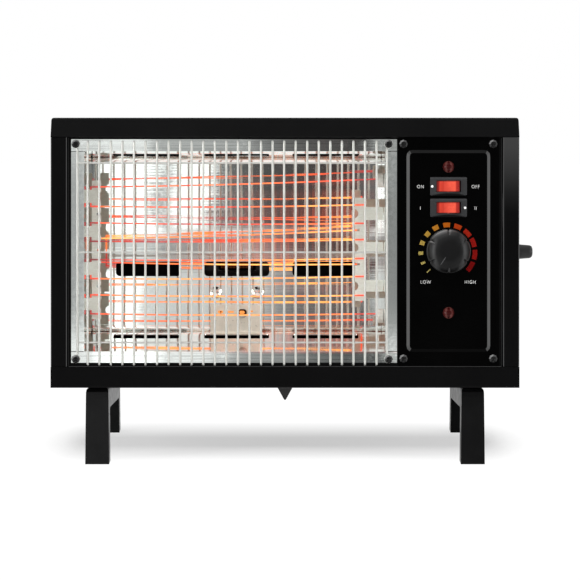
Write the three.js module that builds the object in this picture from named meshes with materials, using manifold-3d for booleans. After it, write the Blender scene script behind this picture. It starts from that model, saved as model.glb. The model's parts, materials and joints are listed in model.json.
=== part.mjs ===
// Radiant ribbon heater with a fan behind a slotted reflector.
// Millimetres, +Z up, the front looks towards -Y. The cabinet leans back on two bridge feet.
import * as THREE from "three";
import { mergeVertices } from "three/addons/utils/BufferGeometryUtils.js";
import Module from "manifold-3d";

const wasm = await Module();
wasm.setup();
const { Manifold, Mesh } = wasm;

// Driving sizes of the cabinet
const cabinetWidth = 400;
const cabinetHeight = 231;
const cabinetDepth = 182;
const leanDegrees = 6;
const steel = 1;
const topBand = 17;
const baseBand = 18;
const sideStrip = 14;
const foldRadius = 1.2;
const visorLean = 10;
const cornerRadius = 2.5;
const visorRadius = 2.4;

// Fits shared by all pieces
const seat = 0.3;
const slack = 0.4;
const overrun = 1;
const weld = 0.25;

// Front inserts: the reflector's frame on the left and the control panel on the right
const frontRecess = 3;
const insertSheet = 0.8;
const windowGap = 3.4;
const topGap = 1.8;
const panelWidth = 86.2;
const insertJoint = 0.8;
const lipReach = 10.8;

const left = -cabinetWidth / 2;
const right = cabinetWidth / 2;
const insertLeft = left + sideStrip + windowGap;
const insertRight = right - sideStrip - windowGap;
const panelLeft = insertRight - panelWidth;
const panelMiddle = insertRight - panelWidth / 2;
const frameRight = panelLeft - insertJoint;
const frameBottom = baseBand + windowGap;
const frameTop = cabinetHeight - topBand - topGap;
const insertBack = frontRecess + insertSheet;
const lipFront = insertBack + seat;
const lean = THREE.MathUtils.degToRad(leanDegrees);

// The heating trough between the two inserts, and the air slots and motor studs in its back
const fanSpace = 80;
const topFlangeHigh = 10.2;
const bottomFlangeHigh = 9.6;
const leftFlangeWide = 11.1;
const rightFlangeWide = 10.1;
const troughLeft = insertLeft + leftFlangeWide;
const troughRight = frameRight - rightFlangeWide;
const troughTop = frameTop - topFlangeHigh;
const troughBottom = frameBottom + bottomFlangeHigh;
const troughDepth = cabinetDepth - fanSpace;
const troughWidth = troughRight - troughLeft;
const troughMiddle = (troughLeft + troughRight) / 2;
const crownDepth = 5;
const topFall = 1.5;
const bottomRise = 12;
const studSpacing = 37.4;
const studRise = 48;
const studZ = troughBottom + studRise;
const backSlotRise = 21.4;
const backSlotZ = studZ + backSlotRise;
const elementDepthShare = 0.461;
const elementDepth = troughDepth * elementDepthShare;
const upTrough = (share) => troughBottom + share * (troughTop - troughBottom);

// Finishes
const finish = (color, roughness, metalness = 0) => ({ color, roughness, metalness });
const blackPaint = finish(0x0d0d0e, 0.35, 0.1);
const brightAluminium = finish(0xd9dcd8, 0.15, 1);
const chromeWire = finish(0xe6e8e4, 0.12, 1);
const blackPlastic = finish(0x1c1c1e, 0.5);
const greyPlastic = finish(0x3c3d40, 0.45);
const redPlastic = finish(0xd8452c, 0.25);
const darkRedLens = finish(0x5a0d0a, 0.12);
const mica = finish(0xe4e2d2, 0.6);
const ceramic = finish(0xf1eee4, 0.4);
const glowing = finish(0xf08a3a, 0.5);
const zincSteel = finish(0xa9abad, 0.4, 1);
const copperWire = finish(0xa8562c, 0.45, 0.6);
const fibreBoard = finish(0xb9b3a2, 0.75);
const blackScrew = finish(0x151517, 0.3, 0.6);

// Facets of round work
const screwSides = 8;
const roundSides = 24;
const knobSides = 32;
const wireSides = 6;
const cornerSteps = 3;
const bendSteps = 3;

const heater = new THREE.Group();
const cabinet = new THREE.Group();
heater.add(cabinet);

// A closed solid from any closed geometry, with shared corners merged and its faces pointing out.
function solid(geometry) {
  geometry.deleteAttribute("normal");
  geometry.deleteAttribute("uv");
  const merged = mergeVertices(geometry);
  const places = merged.attributes.position.array;
  const corner = (at) => new THREE.Vector3().fromArray(places, at * 3);
  const faces = [];
  let volume = 0;
  for (let i = 0; i < merged.index.count; i += 3) {
    const [a, b, c] = [0, 1, 2].map((k) => merged.index.getX(i + k));
    if (a === b || b === c || c === a) continue;
    faces.push([a, b, c]);
    volume += corner(a).dot(corner(b).cross(corner(c)));
  }
  const triVerts = Uint32Array.from(faces.flatMap(([a, b, c]) => (volume < 0 ? [a, c, b] : [a, b, c])));
  const body = new Mesh({ numProp: 3, vertProperties: Float32Array.from(places), triVerts });
  body.merge();
  return new Manifold(body);
}

const joined = (bodies) => bodies.reduce((whole, body) => whole.add(body));
const cutBy = (body, cutters) => cutters.reduce((rest, cutter) => rest.subtract(cutter), body);

// Places a finished solid in a group as a named mesh.
function place(name, body, look, parent = cabinet) {
  const shape = body.getMesh();
  const geometry = new THREE.BufferGeometry();
  geometry.setAttribute("position", new THREE.BufferAttribute(shape.vertProperties, 3));
  geometry.setIndex(new THREE.BufferAttribute(shape.triVerts, 1));
  geometry.computeVertexNormals();
  const mesh = new THREE.Mesh(geometry, new THREE.MeshStandardMaterial(look));
  mesh.name = name;
  parent.add(mesh);
  return mesh;
}

// A block between two opposite corners.
function block([x0, y0, z0], [x1, y1, z1]) {
  const geometry = new THREE.BoxGeometry(x1 - x0, y1 - y0, z1 - z0);
  return solid(geometry.translate((x0 + x1) / 2, (y0 + y1) / 2, (z0 + z1) / 2));
}

// An outline is drawn in two axes and extruded along the third.
const axisX = new THREE.Vector3(1, 0, 0);
const axisY = new THREE.Vector3(0, 1, 0);
const axisZ = new THREE.Vector3(0, 0, 1);

function extruded(shape, depth, curveSegments = cornerSteps) {
  return new THREE.ExtrudeGeometry(shape, { depth, bevelEnabled: false, curveSegments });
}

// Outline in Y and Z, extruded along X.
function alongX(shape, from, to) {
  const turn = new THREE.Matrix4().makeBasis(axisY, axisZ, axisX);
  return solid(extruded(shape, to - from).applyMatrix4(turn).translate(from, 0, 0));
}

// Outline in X and Z, extruded along Y.
function alongY(shape, from, to) {
  const turn = new THREE.Matrix4().makeBasis(axisX, axisZ, axisY.clone().negate());
  return solid(extruded(shape, to - from).applyMatrix4(turn).translate(0, to, 0));
}

// Outline in X and Y, extruded along Z.
function alongZ(shape, from, to) {
  return solid(extruded(shape, to - from).translate(0, 0, from));
}

// A turned piece: pairs of radius and height, spun about an axis through a centre.
function turned(profile, centre, axis, sides = roundSides) {
  const points = profile.map(([radius, height]) => new THREE.Vector2(radius, height));
  const geometry = new THREE.LatheGeometry(points, sides);
  geometry.applyQuaternion(new THREE.Quaternion().setFromUnitVectors(axisY, axis));
  return solid(geometry.translate(...centre));
}

function rod(radius, from, to, sides = roundSides) {
  const start = new THREE.Vector3(...from);
  const run = new THREE.Vector3(...to).sub(start);
  const length = run.length();
  return turned([[0, 0], [radius, 0], [radius, length], [0, length]], from, run.normalize(), sides);
}

// The corners of a folded line: each inner corner is rounded by its own radius.
function foldedLine(corners, radii) {
  const points = [];
  corners.forEach((corner, i) => {
    const here = new THREE.Vector2(...corner);
    if (i === 0 || i === corners.length - 1) {
      points.push(here);
      return;
    }
    const radius = Array.isArray(radii) ? radii[i] : radii;
    const towards = (other) => new THREE.Vector2(...other).sub(here).setLength(radius).add(here);
    const bend = new THREE.QuadraticBezierCurve(towards(corners[i - 1]), here, towards(corners[i + 1]));
    points.push(...bend.getPoints(bendSteps));
  });
  return points;
}

// The outline of a folded sheet: its middle line, moved out by half the sheet on both sides.
function sheetOutline(line, thickness) {
  const side = (sign) => line.map((point, i) => {
    const before = line[Math.max(i - 1, 0)];
    const after = line[Math.min(i + 1, line.length - 1)];
    const into = point.clone().sub(before).normalize();
    const out = after.clone().sub(point).normalize();
    if (i === 0) into.copy(out);
    if (i === line.length - 1) out.copy(into);
    const run = into.clone().add(out).normalize();
    const reach = (sign * thickness) / (2 * run.dot(out));
    return new THREE.Vector2(point.x - run.y * reach, point.y + run.x * reach);
  });
  return new THREE.Shape([...side(1), ...side(-1).reverse()]);
}

const folded = (corners, radii, thickness) => sheetOutline(foldedLine(corners, radii), thickness);

function roundedRectangle(x0, y0, x1, y1, radius) {
  const shape = new THREE.Shape();
  shape.moveTo(x0 + radius, y0);
  shape.lineTo(x1 - radius, y0);
  shape.quadraticCurveTo(x1, y0, x1, y0 + radius);
  shape.lineTo(x1, y1 - radius);
  shape.quadraticCurveTo(x1, y1, x1 - radius, y1);
  shape.lineTo(x0 + radius, y1);
  shape.quadraticCurveTo(x0, y1, x0, y1 - radius);
  shape.lineTo(x0, y0 + radius);
  shape.quadraticCurveTo(x0, y0, x0 + radius, y0);
  return shape;
}

// A wire or strip swept through a list of stations, with one section at each.
class StationPath extends THREE.Curve {
  constructor(stations) {
    super();
    this.stations = stations.map((station) => new THREE.Vector3(...station));
  }

  getPoint(t, target = new THREE.Vector3()) {
    const spans = this.stations.length - 1;
    const span = Math.min(Math.floor(t * spans), spans - 1);
    return target.lerpVectors(this.stations[span], this.stations[span + 1], t * spans - span);
  }

  getPointAt(u, target) {
    return this.getPoint(u, target);
  }

  getTangentAt(u, target = new THREE.Vector3()) {
    const spans = this.stations.length - 1;
    const at = Math.round(u * spans);
    const before = this.stations[Math.max(at - 1, 0)];
    const after = this.stations[Math.min(at + 1, spans)];
    return target.subVectors(after, before).normalize();
  }
}

function swept(section, stations) {
  const extrudePath = new StationPath(stations);
  const geometry = new THREE.ExtrudeGeometry(section, { steps: stations.length - 1, extrudePath });
  return solid(geometry);
}

function roundSection(radius, sides) {
  const corners = Array.from({ length: sides }, (_, i) => {
    const angle = (2 * Math.PI * (i + 1 / 2)) / sides;
    return new THREE.Vector2(radius * Math.cos(angle), radius * Math.sin(angle));
  });
  return new THREE.Shape(corners);
}

const wire = (radius, stations) => swept(roundSection(radius, wireSides), stations);

// Screws: a truss head with a cross recess, on a plain shank.
const screwRadius = 1.5;
const screwHole = screwRadius + slack;
const headRadius = 3.6;
const headHeight = 2.2;
const headRim = 0.6;
const crownShare = 0.62;
const recessLength = 4.2;
const recessWidth = 1;
const recessDepth = 1.1;
const screwReach = 3;

function screw(name, x, headSeat, tip, z, facing = axisY) {
  const length = Math.abs(tip - headSeat);
  const profile = [
    [0, -headHeight],
    [headRadius * crownShare, -headHeight],
    [headRadius, -headRim],
    [headRadius, 0],
    [screwRadius, 0],
    [screwRadius, length],
    [0, length],
  ];
  const recess = [[recessLength, recessWidth], [recessWidth, recessLength]].map(([wide, high]) =>
    block([-wide / 2, -headHeight - overrun, -high / 2], [wide / 2, recessDepth - headHeight, high / 2]));
  const body = cutBy(turned(profile, [0, 0, 0], axisY, screwSides), recess);
  const mesh = place(name, body, blackScrew);
  mesh.quaternion.setFromUnitVectors(axisY, facing);
  mesh.position.set(x, headSeat, z);
}

const screwHoles = (places, from, to) =>
  places.map(([x, z]) => rod(screwHole, [x, from, z], [x, to, z], screwSides));

// Places of the front screws, inset from the corners of the two inserts
const screwInset = 4;
const screwDropShare = 0.392;
const cornerDrop = 3.2;
const panelInset = 4.8;
const screwTop = frameTop - topFlangeHigh * screwDropShare;
const grilleScrews = [
  [insertLeft + screwInset, screwTop],
  [frameRight - screwInset - cornerDrop, screwTop],
  [insertLeft + screwInset, frameBottom + cornerDrop],
  [frameRight - screwInset - cornerDrop, frameBottom + cornerDrop],
];
const panelScrews = [panelLeft + panelInset, insertRight - panelInset].flatMap((x) => [
  [x, screwTop],
  [x, frameBottom + cornerDrop + seat],
]);
const frontScrews = [...grilleScrews, ...panelScrews];

// Base pan: a folded tray whose front edge turns in behind the inserts. It has a slot for the tilt lever.
const slotWidth = 16;
const slotLength = 26;
const leverDepthShare = 0.3407;
const leverDepth = cabinetDepth * leverDepthShare;
const lipClear = 1.2;
const lipLeft = left + sideStrip + lipClear;
const lipRight = right - sideStrip - lipClear;
const half = steel / 2;

function basePan() {
  const tray = folded(
    [[cabinetDepth - half, baseBand], [cabinetDepth - half, half], [half, half], [half, baseBand]],
    foldRadius, steel);
  const lip = folded(
    [[half, baseBand / 2], [half, baseBand - half], [lipFront + half, baseBand - half],
      [lipFront + half, baseBand + lipReach]],
    foldRadius, steel);
  const ends = [[left, left + steel], [right - steel, right]].map(([from, to]) =>
    alongX(roundedRectangle(0, 0, cabinetDepth, baseBand, foldRadius), from, to));
  const body = joined([alongX(tray, left, right), alongX(lip, lipLeft, lipRight), ...ends]);
  const [slotFront, slotBack] = [leverDepth - slotLength / 2, leverDepth + slotLength / 2];
  const slot = alongZ(roundedRectangle(-slotWidth / 2, slotFront, slotWidth / 2, slotBack, foldRadius),
    -overrun, steel + overrun);
  const holes = screwHoles(frontScrews, frontRecess, lipFront + steel + overrun);
  place("base_pan", cutBy(body, [slot, ...holes]), blackPaint);
}

// Top cover: an inverted tray whose front leans back as a visor, with softened outer corners.
function topCover() {
  const low = cabinetHeight - topBand;
  const visor = [[half, low], [visorLean, cabinetHeight - half]];
  const back = cabinetDepth - half;
  const tray = folded([[back, low], [back, cabinetHeight - half], visor[1], visor[0]],
    [0, foldRadius, visorRadius, 0], steel);
  const lip = folded(
    [[half + weld, low + half], [lipFront + half, low + half], [lipFront + half, low - lipReach]],
    foldRadius, steel);
  const cheek = new THREE.Shape();
  cheek.moveTo(0, low);
  cheek.lineTo(cabinetDepth, low);
  cheek.lineTo(cabinetDepth, cabinetHeight - foldRadius);
  cheek.lineTo(cabinetDepth - foldRadius, cabinetHeight);
  cheek.lineTo(visorLean + foldRadius, cabinetHeight);
  cheek.lineTo(visorLean - foldRadius, cabinetHeight - foldRadius);
  const ends = [[left, left + steel], [right - steel, right]].map(([from, to]) => alongX(cheek, from, to));
  const body = joined([alongX(tray, left, right), alongX(lip, lipLeft, lipRight), ...ends]);
  const softened = new THREE.Shape();
  softened.moveTo(left, low - lipReach - overrun);
  softened.lineTo(right, low - lipReach - overrun);
  softened.lineTo(right, cabinetHeight - cornerRadius);
  softened.quadraticCurveTo(right, cabinetHeight, right - cornerRadius, cabinetHeight);
  softened.lineTo(left + cornerRadius, cabinetHeight);
  softened.quadraticCurveTo(left, cabinetHeight, left, cabinetHeight - cornerRadius);
  const outer = alongY(softened, -overrun, cabinetDepth + overrun);
  const holes = screwHoles(frontScrews, frontRecess, lipFront + steel + overrun);
  place("top_cover", cutBy(body.intersect(outer), holes), blackPaint);
}

// Side panels: channels with front and rear flanges. A joggled tongue holds each in both trays.
const rearFlange = 14;
const tongueReach = 12;
const tongueInset = 20;
const panelBottom = baseBand + seat;
const panelTop = cabinetHeight - topBand - seat;
const rearScrewInset = 8;
const rearScrewShares = [0.25, 0.75];
const rearScrewHeights = rearScrewShares.map((share) => panelBottom + share * (panelTop - panelBottom));
const sideKnobDepth = cabinetDepth / 2;
const sideKnobHeight = cabinetHeight / 2;
const sideBush = 4.5;

function sidePanel(name, side) {
  const wall = (inset) => side * (right - inset);
  const channel = folded(
    [[wall(sideStrip - half), lipFront + half], [wall(sideStrip - half), half], [wall(half), half],
      [wall(half), cabinetDepth - half], [wall(rearFlange), cabinetDepth - half]],
    foldRadius, steel);
  const span = (inset, reach) => [Math.min(wall(inset), wall(reach)), Math.max(wall(inset), wall(reach))];
  const [x0, x1] = span(steel + seat, 2 * steel + seat);
  const [joint0, joint1] = span(steel - weld, 2 * steel);
  const y0 = tongueInset;
  const y1 = cabinetDepth - tongueInset;
  const tongue = block([x0, y0, panelBottom - tongueReach], [x1, y1, panelTop + tongueReach]);
  const joggle = block([joint0, y0, panelBottom + overrun], [joint1, y1, panelTop - overrun]);
  const holes = rearScrewHeights.map((z) =>
    rod(screwHole, [wall(rearScrewInset), cabinetDepth - steel - overrun, z],
      [wall(rearScrewInset), cabinetDepth + overrun, z], screwSides));
  if (side > 0) {
    holes.push(rod(sideBush + slack, [right - 2 * tongueReach, sideKnobDepth, sideKnobHeight],
      [right + overrun, sideKnobDepth, sideKnobHeight]));
  }
  place(name, cutBy(joined([alongZ(channel, panelBottom, panelTop), tongue, joggle]), holes), blackPaint);
}

// Rear panel: a flat sheet inside the rear flanges, with two rows of upright air slots and the cord's hole.
// The plain rib between the rows stands behind the trough's back slots.
const inletSlots = 18;
const inletMargin = 18;
const inletPitch = (troughWidth - 2 * inletMargin) / (inletSlots - 1);
const inletWidth = 5;
const inletHeight = 48;
const inletRib = 22;
const ventSlots = 6;
const ventHeight = 30;
const ventShare = 0.65;
const ventZ = cabinetHeight * ventShare;
const cordInset = 50;
const cordX = right - cordInset;
const cordZ = 44;
const cordBush = 6;
const rearBack = cabinetDepth - steel - seat;
const rearFront = rearBack - steel;
const rearInset = 3;

function airSlot(x, low, high) {
  const tip = inletWidth / 2;
  return new THREE.Path([
    [x, low], [x + tip, low + tip], [x + tip, high - tip],
    [x, high], [x - tip, high - tip], [x - tip, low + tip],
  ].map(([u, v]) => new THREE.Vector2(u, v)));
}

function rearPanel() {
  const sheet = new THREE.Shape([
    [left + rearInset, steel + seat], [right - rearInset, steel + seat],
    [right - rearInset, cabinetHeight - steel - seat], [left + rearInset, cabinetHeight - steel - seat],
  ].map(([u, v]) => new THREE.Vector2(u, v)));
  const shift = ((inletSlots - 1) * inletPitch) / 2;
  for (let i = 0; i < inletSlots; i += 1) {
    const x = troughMiddle - shift + i * inletPitch;
    sheet.holes.push(airSlot(x, backSlotZ + inletRib / 2, backSlotZ + inletRib / 2 + inletHeight));
    sheet.holes.push(airSlot(x, backSlotZ - inletRib / 2 - inletHeight, backSlotZ - inletRib / 2));
  }
  for (let i = 0; i < ventSlots; i += 1) {
    const x = cordX + (i - (ventSlots - 1) / 2) * inletPitch;
    sheet.holes.push(airSlot(x, ventZ - ventHeight / 2, ventZ + ventHeight / 2));
  }
  const flange = [left + rearScrewInset, right - rearScrewInset];
  const holes = screwHoles(flange.flatMap((x) => rearScrewHeights.map((z) => [x, z])),
    rearFront - overrun, rearBack + overrun);
  const cordHole = rod(cordBush + slack, [cordX, rearFront - overrun, cordZ],
    [cordX, rearBack + overrun, cordZ]);
  const body = alongY(sheet, rearFront, rearBack);
  place("rear_panel", cutBy(body, [...holes, cordHole]), blackPaint);
  flange.forEach((x, column) => rearScrewHeights.forEach((z, row) => {
    const name = `rear_screw_${column * rearScrewHeights.length + row + 1}`;
    screw(name, x, cabinetDepth + seat, rearFront - screwReach, z, axisY.clone().negate());
  }));
}

basePan();
topCover();
sidePanel("side_panel_left", -1);
sidePanel("side_panel_right", 1);
rearPanel();

// Reflector: a polished trough folded from one sheet, with flanges all round and three columns of air slots.
const troughRadius = 22;
const crownRadius = 30;
const columnPitchShare = 0.3055;
const columnLengthShare = 0.2257;
const wallSlotShares = [0.569, 0.804];
const slotColumnLength = troughWidth * columnLengthShare;
const slotCorner = 3.5;
const backSlotHeight = 11.6;
const slotColumns = [-1, 0, 1].map((column) => troughMiddle + column * columnPitchShare * troughWidth);
const troughHigh = troughTop + insertSheet / 2;
const troughLow = troughBottom - insertSheet / 2;
const backMiddleZ = (troughTop - topFall + troughBottom + bottomRise) / 2;
const troughCorners = [
  [frontRecess + insertSheet / 2, troughHigh],
  [troughDepth, troughHigh - topFall],
  [troughDepth + crownDepth, backMiddleZ],
  [troughDepth, troughLow + bottomRise],
  [frontRecess + insertSheet / 2, troughLow],
];
const troughRadii = [0, troughRadius, crownRadius, troughRadius, 0];
const studRadius = 2;
const studHead = 5.5;
const studColumns = [-1, 1].map((side) => troughMiddle + (side * studSpacing) / 2);

function reflector() {
  const margin = insertSheet + seat;
  const sheet = folded(troughCorners, troughRadii, insertSheet);
  const trough = alongX(sheet, troughLeft - margin, troughRight + margin);
  const topFlange = block([insertLeft, frontRecess, troughTop], [frameRight, insertBack, frameTop]);
  const bottomFlange = block([insertLeft, frontRecess, frameBottom], [frameRight, insertBack, troughBottom]);
  const slots = slotColumns.flatMap((x) => {
    const x0 = x - slotColumnLength / 2;
    const x1 = x + slotColumnLength / 2;
    const [low, high] = [backSlotZ - backSlotHeight / 2, backSlotZ + backSlotHeight / 2];
    const back = roundedRectangle(x0, low, x1, high, slotCorner);
    const [wallFront, wallBack] = wallSlotShares.map((share) => troughDepth * share);
    const wall = roundedRectangle(x0, wallFront, x1, wallBack, slotCorner);
    return [
      alongY(back, troughDepth - crownDepth, troughDepth + 2 * crownDepth),
      alongZ(wall, troughTop - 2 * topFall - overrun, troughTop + 2 * overrun),
      alongZ(wall, troughBottom, troughBottom + bottomRise),
    ];
  });
  const studs = studColumns.map((x) =>
    rod(studRadius + slack, [x, troughDepth - overrun, studZ], [x, troughDepth + 2 * crownDepth, studZ],
      screwSides));
  const holes = screwHoles(grilleScrews, frontRecess - overrun, insertBack + overrun);
  const body = joined([trough, topFlange, bottomFlange]);
  place("reflector", cutBy(body, [...slots, ...studs, ...holes]), brightAluminium);
}

// Reflector ends: a wall that closes the trough, folded out at its front into a flange with a rolled edge.
const rollRadius = 1.2;
const bushShares = [0.8596, 0.1696];
const [bushHigh, bushLow] = bushShares.map(upTrough);
const bushRadius = 6.2;
const bushShank = 3;
const bushLength = 5;
const bushTail = 4;

function reflectorEnd(name, side) {
  const inner = side < 0 ? troughLeft : troughRight;
  const outer = side < 0 ? insertLeft : frameRight;
  const inside = foldedLine(troughCorners, troughRadii).map((point) => point.clone());
  const margin = insertSheet / 2 + seat;
  const middle = new THREE.Vector2(0, backMiddleZ);
  const outline = inside.map((point) => {
    const towards = Math.sign(middle.y - point.y);
    const deep = Math.min(point.x, troughDepth + crownDepth) - margin;
    return new THREE.Vector2(Math.max(deep, frontRecess), point.y + towards * (margin + seat));
  });
  const wall = alongX(new THREE.Shape(outline), Math.min(inner, inner + side * insertSheet),
    Math.max(inner, inner + side * insertSheet));
  const low = troughBottom + seat;
  const high = troughTop - seat;
  const flange = block([Math.min(inner, outer), frontRecess, low],
    [Math.max(inner, outer), insertBack, high]);
  const roll = rod(rollRadius, [inner + side * rollRadius, frontRecess + rollRadius, low],
    [inner + side * rollRadius, frontRecess + rollRadius, high], screwSides);
  const holes = side < 0 ? [] : [bushHigh, bushLow].map((z) =>
    rod(bushShank + slack, [inner - overrun, elementDepth, z], [inner + 2 * overrun, elementDepth, z],
      screwSides));
  place(name, cutBy(joined([wall, flange, roll]), holes), brightAluminium);
}

// Grille: upright chrome wires welded in front of three cross wires. Their top ends turn back onto the
// reflector's flange, their bottom ends hook under it, and the two outer wires end in eyes for the screws.
const uprightCount = 26;
const outerPitch = 8.8;
const outerInset = 1.45;
const uprightRadius = 0.95;
const crossRadius = 0.8;
const crossShares = [0.905, 0.49, 0.082];
const wireBend = 2;
const wireBendShare = 0.3;
const eyeSides = 12;
const eyeSteps = 6;
const topInset = 0.9;
const eyeDrop = 9;
const crossWireY = frontRecess - seat - crossRadius;
const uprightY = crossWireY - crossRadius - uprightRadius + weld;
const eyeY = frontRecess - seat - uprightRadius;
const eyeRadius = screwRadius + seat + uprightRadius;
const grilleMiddle = (grilleScrews[0][0] + grilleScrews[1][0]) / 2;
const outerSpan = grilleScrews[1][0] - grilleScrews[0][0] - 2 * outerInset;
const uprightPitch = (outerSpan - 2 * outerPitch) / (uprightCount - 1);

function grille() {
  const topZ = frameTop - topInset - uprightRadius;
  const bottomZ = (baseBand + frameBottom) / 2;
  const bend = (z, towards, end) => [
    [uprightY, z + towards * wireBend],
    [uprightY + wireBend * wireBendShare, z + towards * wireBend * wireBendShare],
    [uprightY + wireBend, z],
    [end, z],
  ];
  const upright = (x) => {
    const up = bend(topZ, -1, frontRecess - seat).map(([y, z]) => [x, y, z]);
    const down = bend(bottomZ, 1, lipFront - seat).map(([y, z]) => [x, y, z]);
    return wire(uprightRadius, [...up.reverse(), ...down]);
  };
  const span = (uprightCount - 1) * uprightPitch;
  const inner = Array.from({ length: uprightCount }, (_, i) =>
    upright(grilleMiddle - span / 2 + i * uprightPitch));
  const outer = [-1, 1].flatMap((side) => {
    const x = grilleMiddle + (side * outerSpan) / 2;
    const eyes = grilleScrews.filter(([screwX]) => Math.sign(screwX - grilleMiddle) === side);
    const [high, low] = eyes.map(([, z]) => z);
    const stem = wire(uprightRadius, [
      [eyes[0][0], eyeY, high - eyeRadius], [x, eyeY, high - eyeDrop / 2], [x, uprightY, high - eyeDrop],
      [x, uprightY, low + eyeDrop], [x, eyeY, low + eyeDrop / 2], [eyes[1][0], eyeY, low + eyeRadius],
    ]);
    const rings = eyes.map(([screwX, z]) => {
      const ring = new THREE.TorusGeometry(eyeRadius, uprightRadius, eyeSteps, eyeSides);
      return solid(ring.rotateX(Math.PI / 2).translate(screwX, eyeY, z));
    });
    return [stem, ...rings];
  });
  const reach = outerSpan / 2 + uprightRadius;
  const cross = crossShares.map((share) => {
    const z = bottomZ + share * (topZ - bottomZ);
    return wire(crossRadius, [[grilleMiddle - reach, crossWireY, z], [grilleMiddle + reach, crossWireY, z]]);
  });
  place("grille", joined([...cross, ...inner, ...outer]), chromeWire);
  grilleScrews.forEach(([x, z], i) => {
    screw(`grille_screw_${i + 1}`, x, eyeY - uprightRadius - seat, lipFront + steel + screwReach, z);
  });
}

// Control panel: a pressed steel plate with a raised field, cut out for two rockers, two lamps and the
// thermostat. They hang in one column from the top of the field; the alarm lamp lies midway under the knob.
const fieldRise = 1.6;
const fieldBevel = 2.6;
const fieldInset = 9.2;
const fieldSide = 7.4;
const fieldDepth = 4.8;
const fieldTop = frameTop - fieldInset;
const fieldBottom = frameBottom + fieldInset;
const fieldCorner = 3;
const rockerLength = 19.4;
const rockerHeight = 9;
const rockerTravel = 16;
const rockerSeat = 4;
const bezelRim = 5.2;
const bezelLip = 2.9;
const bezelThickness = 2;
const bezelBody = 27;
const bezelWall = 1.7;
const bodyDepth = 20;
const lensRadius = 4.9;
const lampNeck = 3.6;
const lampDrop = 14.4;
const lampGap = 3.55;
const switchGap = 2.2;
const dialGap = 10.25;
const knobRadius = 18.8;
const thermostatBush = 4.5;
const fieldFront = frontRecess - fieldRise;
const rockerTurn = THREE.MathUtils.degToRad(rockerTravel / 2);
const rockerSwing = (rockerLength / 2) * Math.cos(rockerTurn) + rockerSeat * Math.sin(rockerTurn) + seat;
const cavityHeight = rockerHeight / 2 + slack;
const bodyHeight = cavityHeight + bezelWall;
const bezelHalf = bodyHeight + bezelLip / 2;
const powerLampZ = fieldTop - lampDrop;
const powerSwitchZ = powerLampZ - lensRadius - lampGap - bezelHalf;
const heatSwitchZ = powerSwitchZ - 2 * bezelHalf - switchGap;
const thermostatZ = heatSwitchZ - bezelHalf - dialGap - knobRadius;
const alarmLampZ = (thermostatZ - knobRadius + fieldBottom) / 2;

function controlPanel() {
  const x0 = panelLeft + fieldSide + fieldBevel;
  const x1 = insertRight - fieldSide - fieldBevel;
  const plate = block([panelLeft, frontRecess, panelBottom], [insertRight, insertBack, panelTop]);
  const field = (inset, front, back) => {
    const [low, high] = [fieldBottom + fieldBevel + inset, fieldTop - fieldBevel - inset];
    const shape = roundedRectangle(x0 + inset, low, x1 - inset, high, fieldCorner);
    const raised = new THREE.ExtrudeGeometry(shape, {
      depth: back - front - 2 * fieldRise, bevelThickness: fieldRise, bevelSize: fieldBevel, bevelSegments: 1,
      curveSegments: cornerSteps,
    });
    const turn = new THREE.Matrix4().makeBasis(axisX, axisZ, axisY.clone().negate());
    return solid(raised.applyMatrix4(turn).translate(0, back - fieldRise, 0));
  };
  const hollow = fieldFront + insertSheet;
  const raised = field(0, fieldFront, fieldFront + fieldDepth);
  const space = field(insertSheet / 2, hollow, hollow + fieldDepth);
  const shell = plate.add(raised).subtract(space);
  const bounds = block([panelLeft, fieldFront, panelBottom], [insertRight, insertBack, panelTop]);
  const from = fieldFront - overrun;
  const to = insertBack + overrun;
  const holes = [powerSwitchZ, heatSwitchZ].map((z) =>
    block([panelMiddle - bezelBody / 2 - slack, from, z - bodyHeight - slack],
      [panelMiddle + bezelBody / 2 + slack, to, z + bodyHeight + slack]));
  const rounds = [[lampNeck, powerLampZ], [lampNeck, alarmLampZ], [thermostatBush, thermostatZ]]
    .map(([radius, z]) => rod(radius + slack, [panelMiddle, from, z], [panelMiddle, to, z], screwSides));
  const cuts = [...holes, ...rounds, ...screwHoles(panelScrews, from, to)];
  place("control_panel", cutBy(shell.intersect(bounds), cuts), blackPaint);
  panelScrews.forEach(([x, z], i) => {
    screw(`panel_screw_${i + 1}`, x, frontRecess - seat, lipFront + steel + screwReach, z);
  });
}

reflector();
reflectorEnd("reflector_end_left", -1);
reflectorEnd("reflector_end_right", 1);
grille();
controlPanel();

// A turning piece hangs on a pivot group, named after its joint, which holds it in its pose at rest.
function pivot(name, position, parent = cabinet) {
  const group = new THREE.Group();
  group.name = name;
  group.position.set(...position);
  parent.add(group);
  return group;
}

// Rocker switches: a snap-in housing with a bezel and blades, and a translucent rocker on two trunnions.
const cavityDepth = 10;
const trunnionRadius = 1.2;
const trunnionReach = 1.1;
const bladeWidth = 6.3;
const bladeThickness = 0.8;
const bladeLength = 8;
const bladeSpread = 8;
const bezelCorner = 1.5;
const rockerDome = 6.4;
const bezelBack = fieldFront - seat;
const bezelFront = bezelBack - bezelThickness;
const rockerDip = (rockerLength / 2) * Math.tan(rockerTurn);
const rockerPivotY = bezelFront + rockerSeat - rockerDip / 2;

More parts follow.
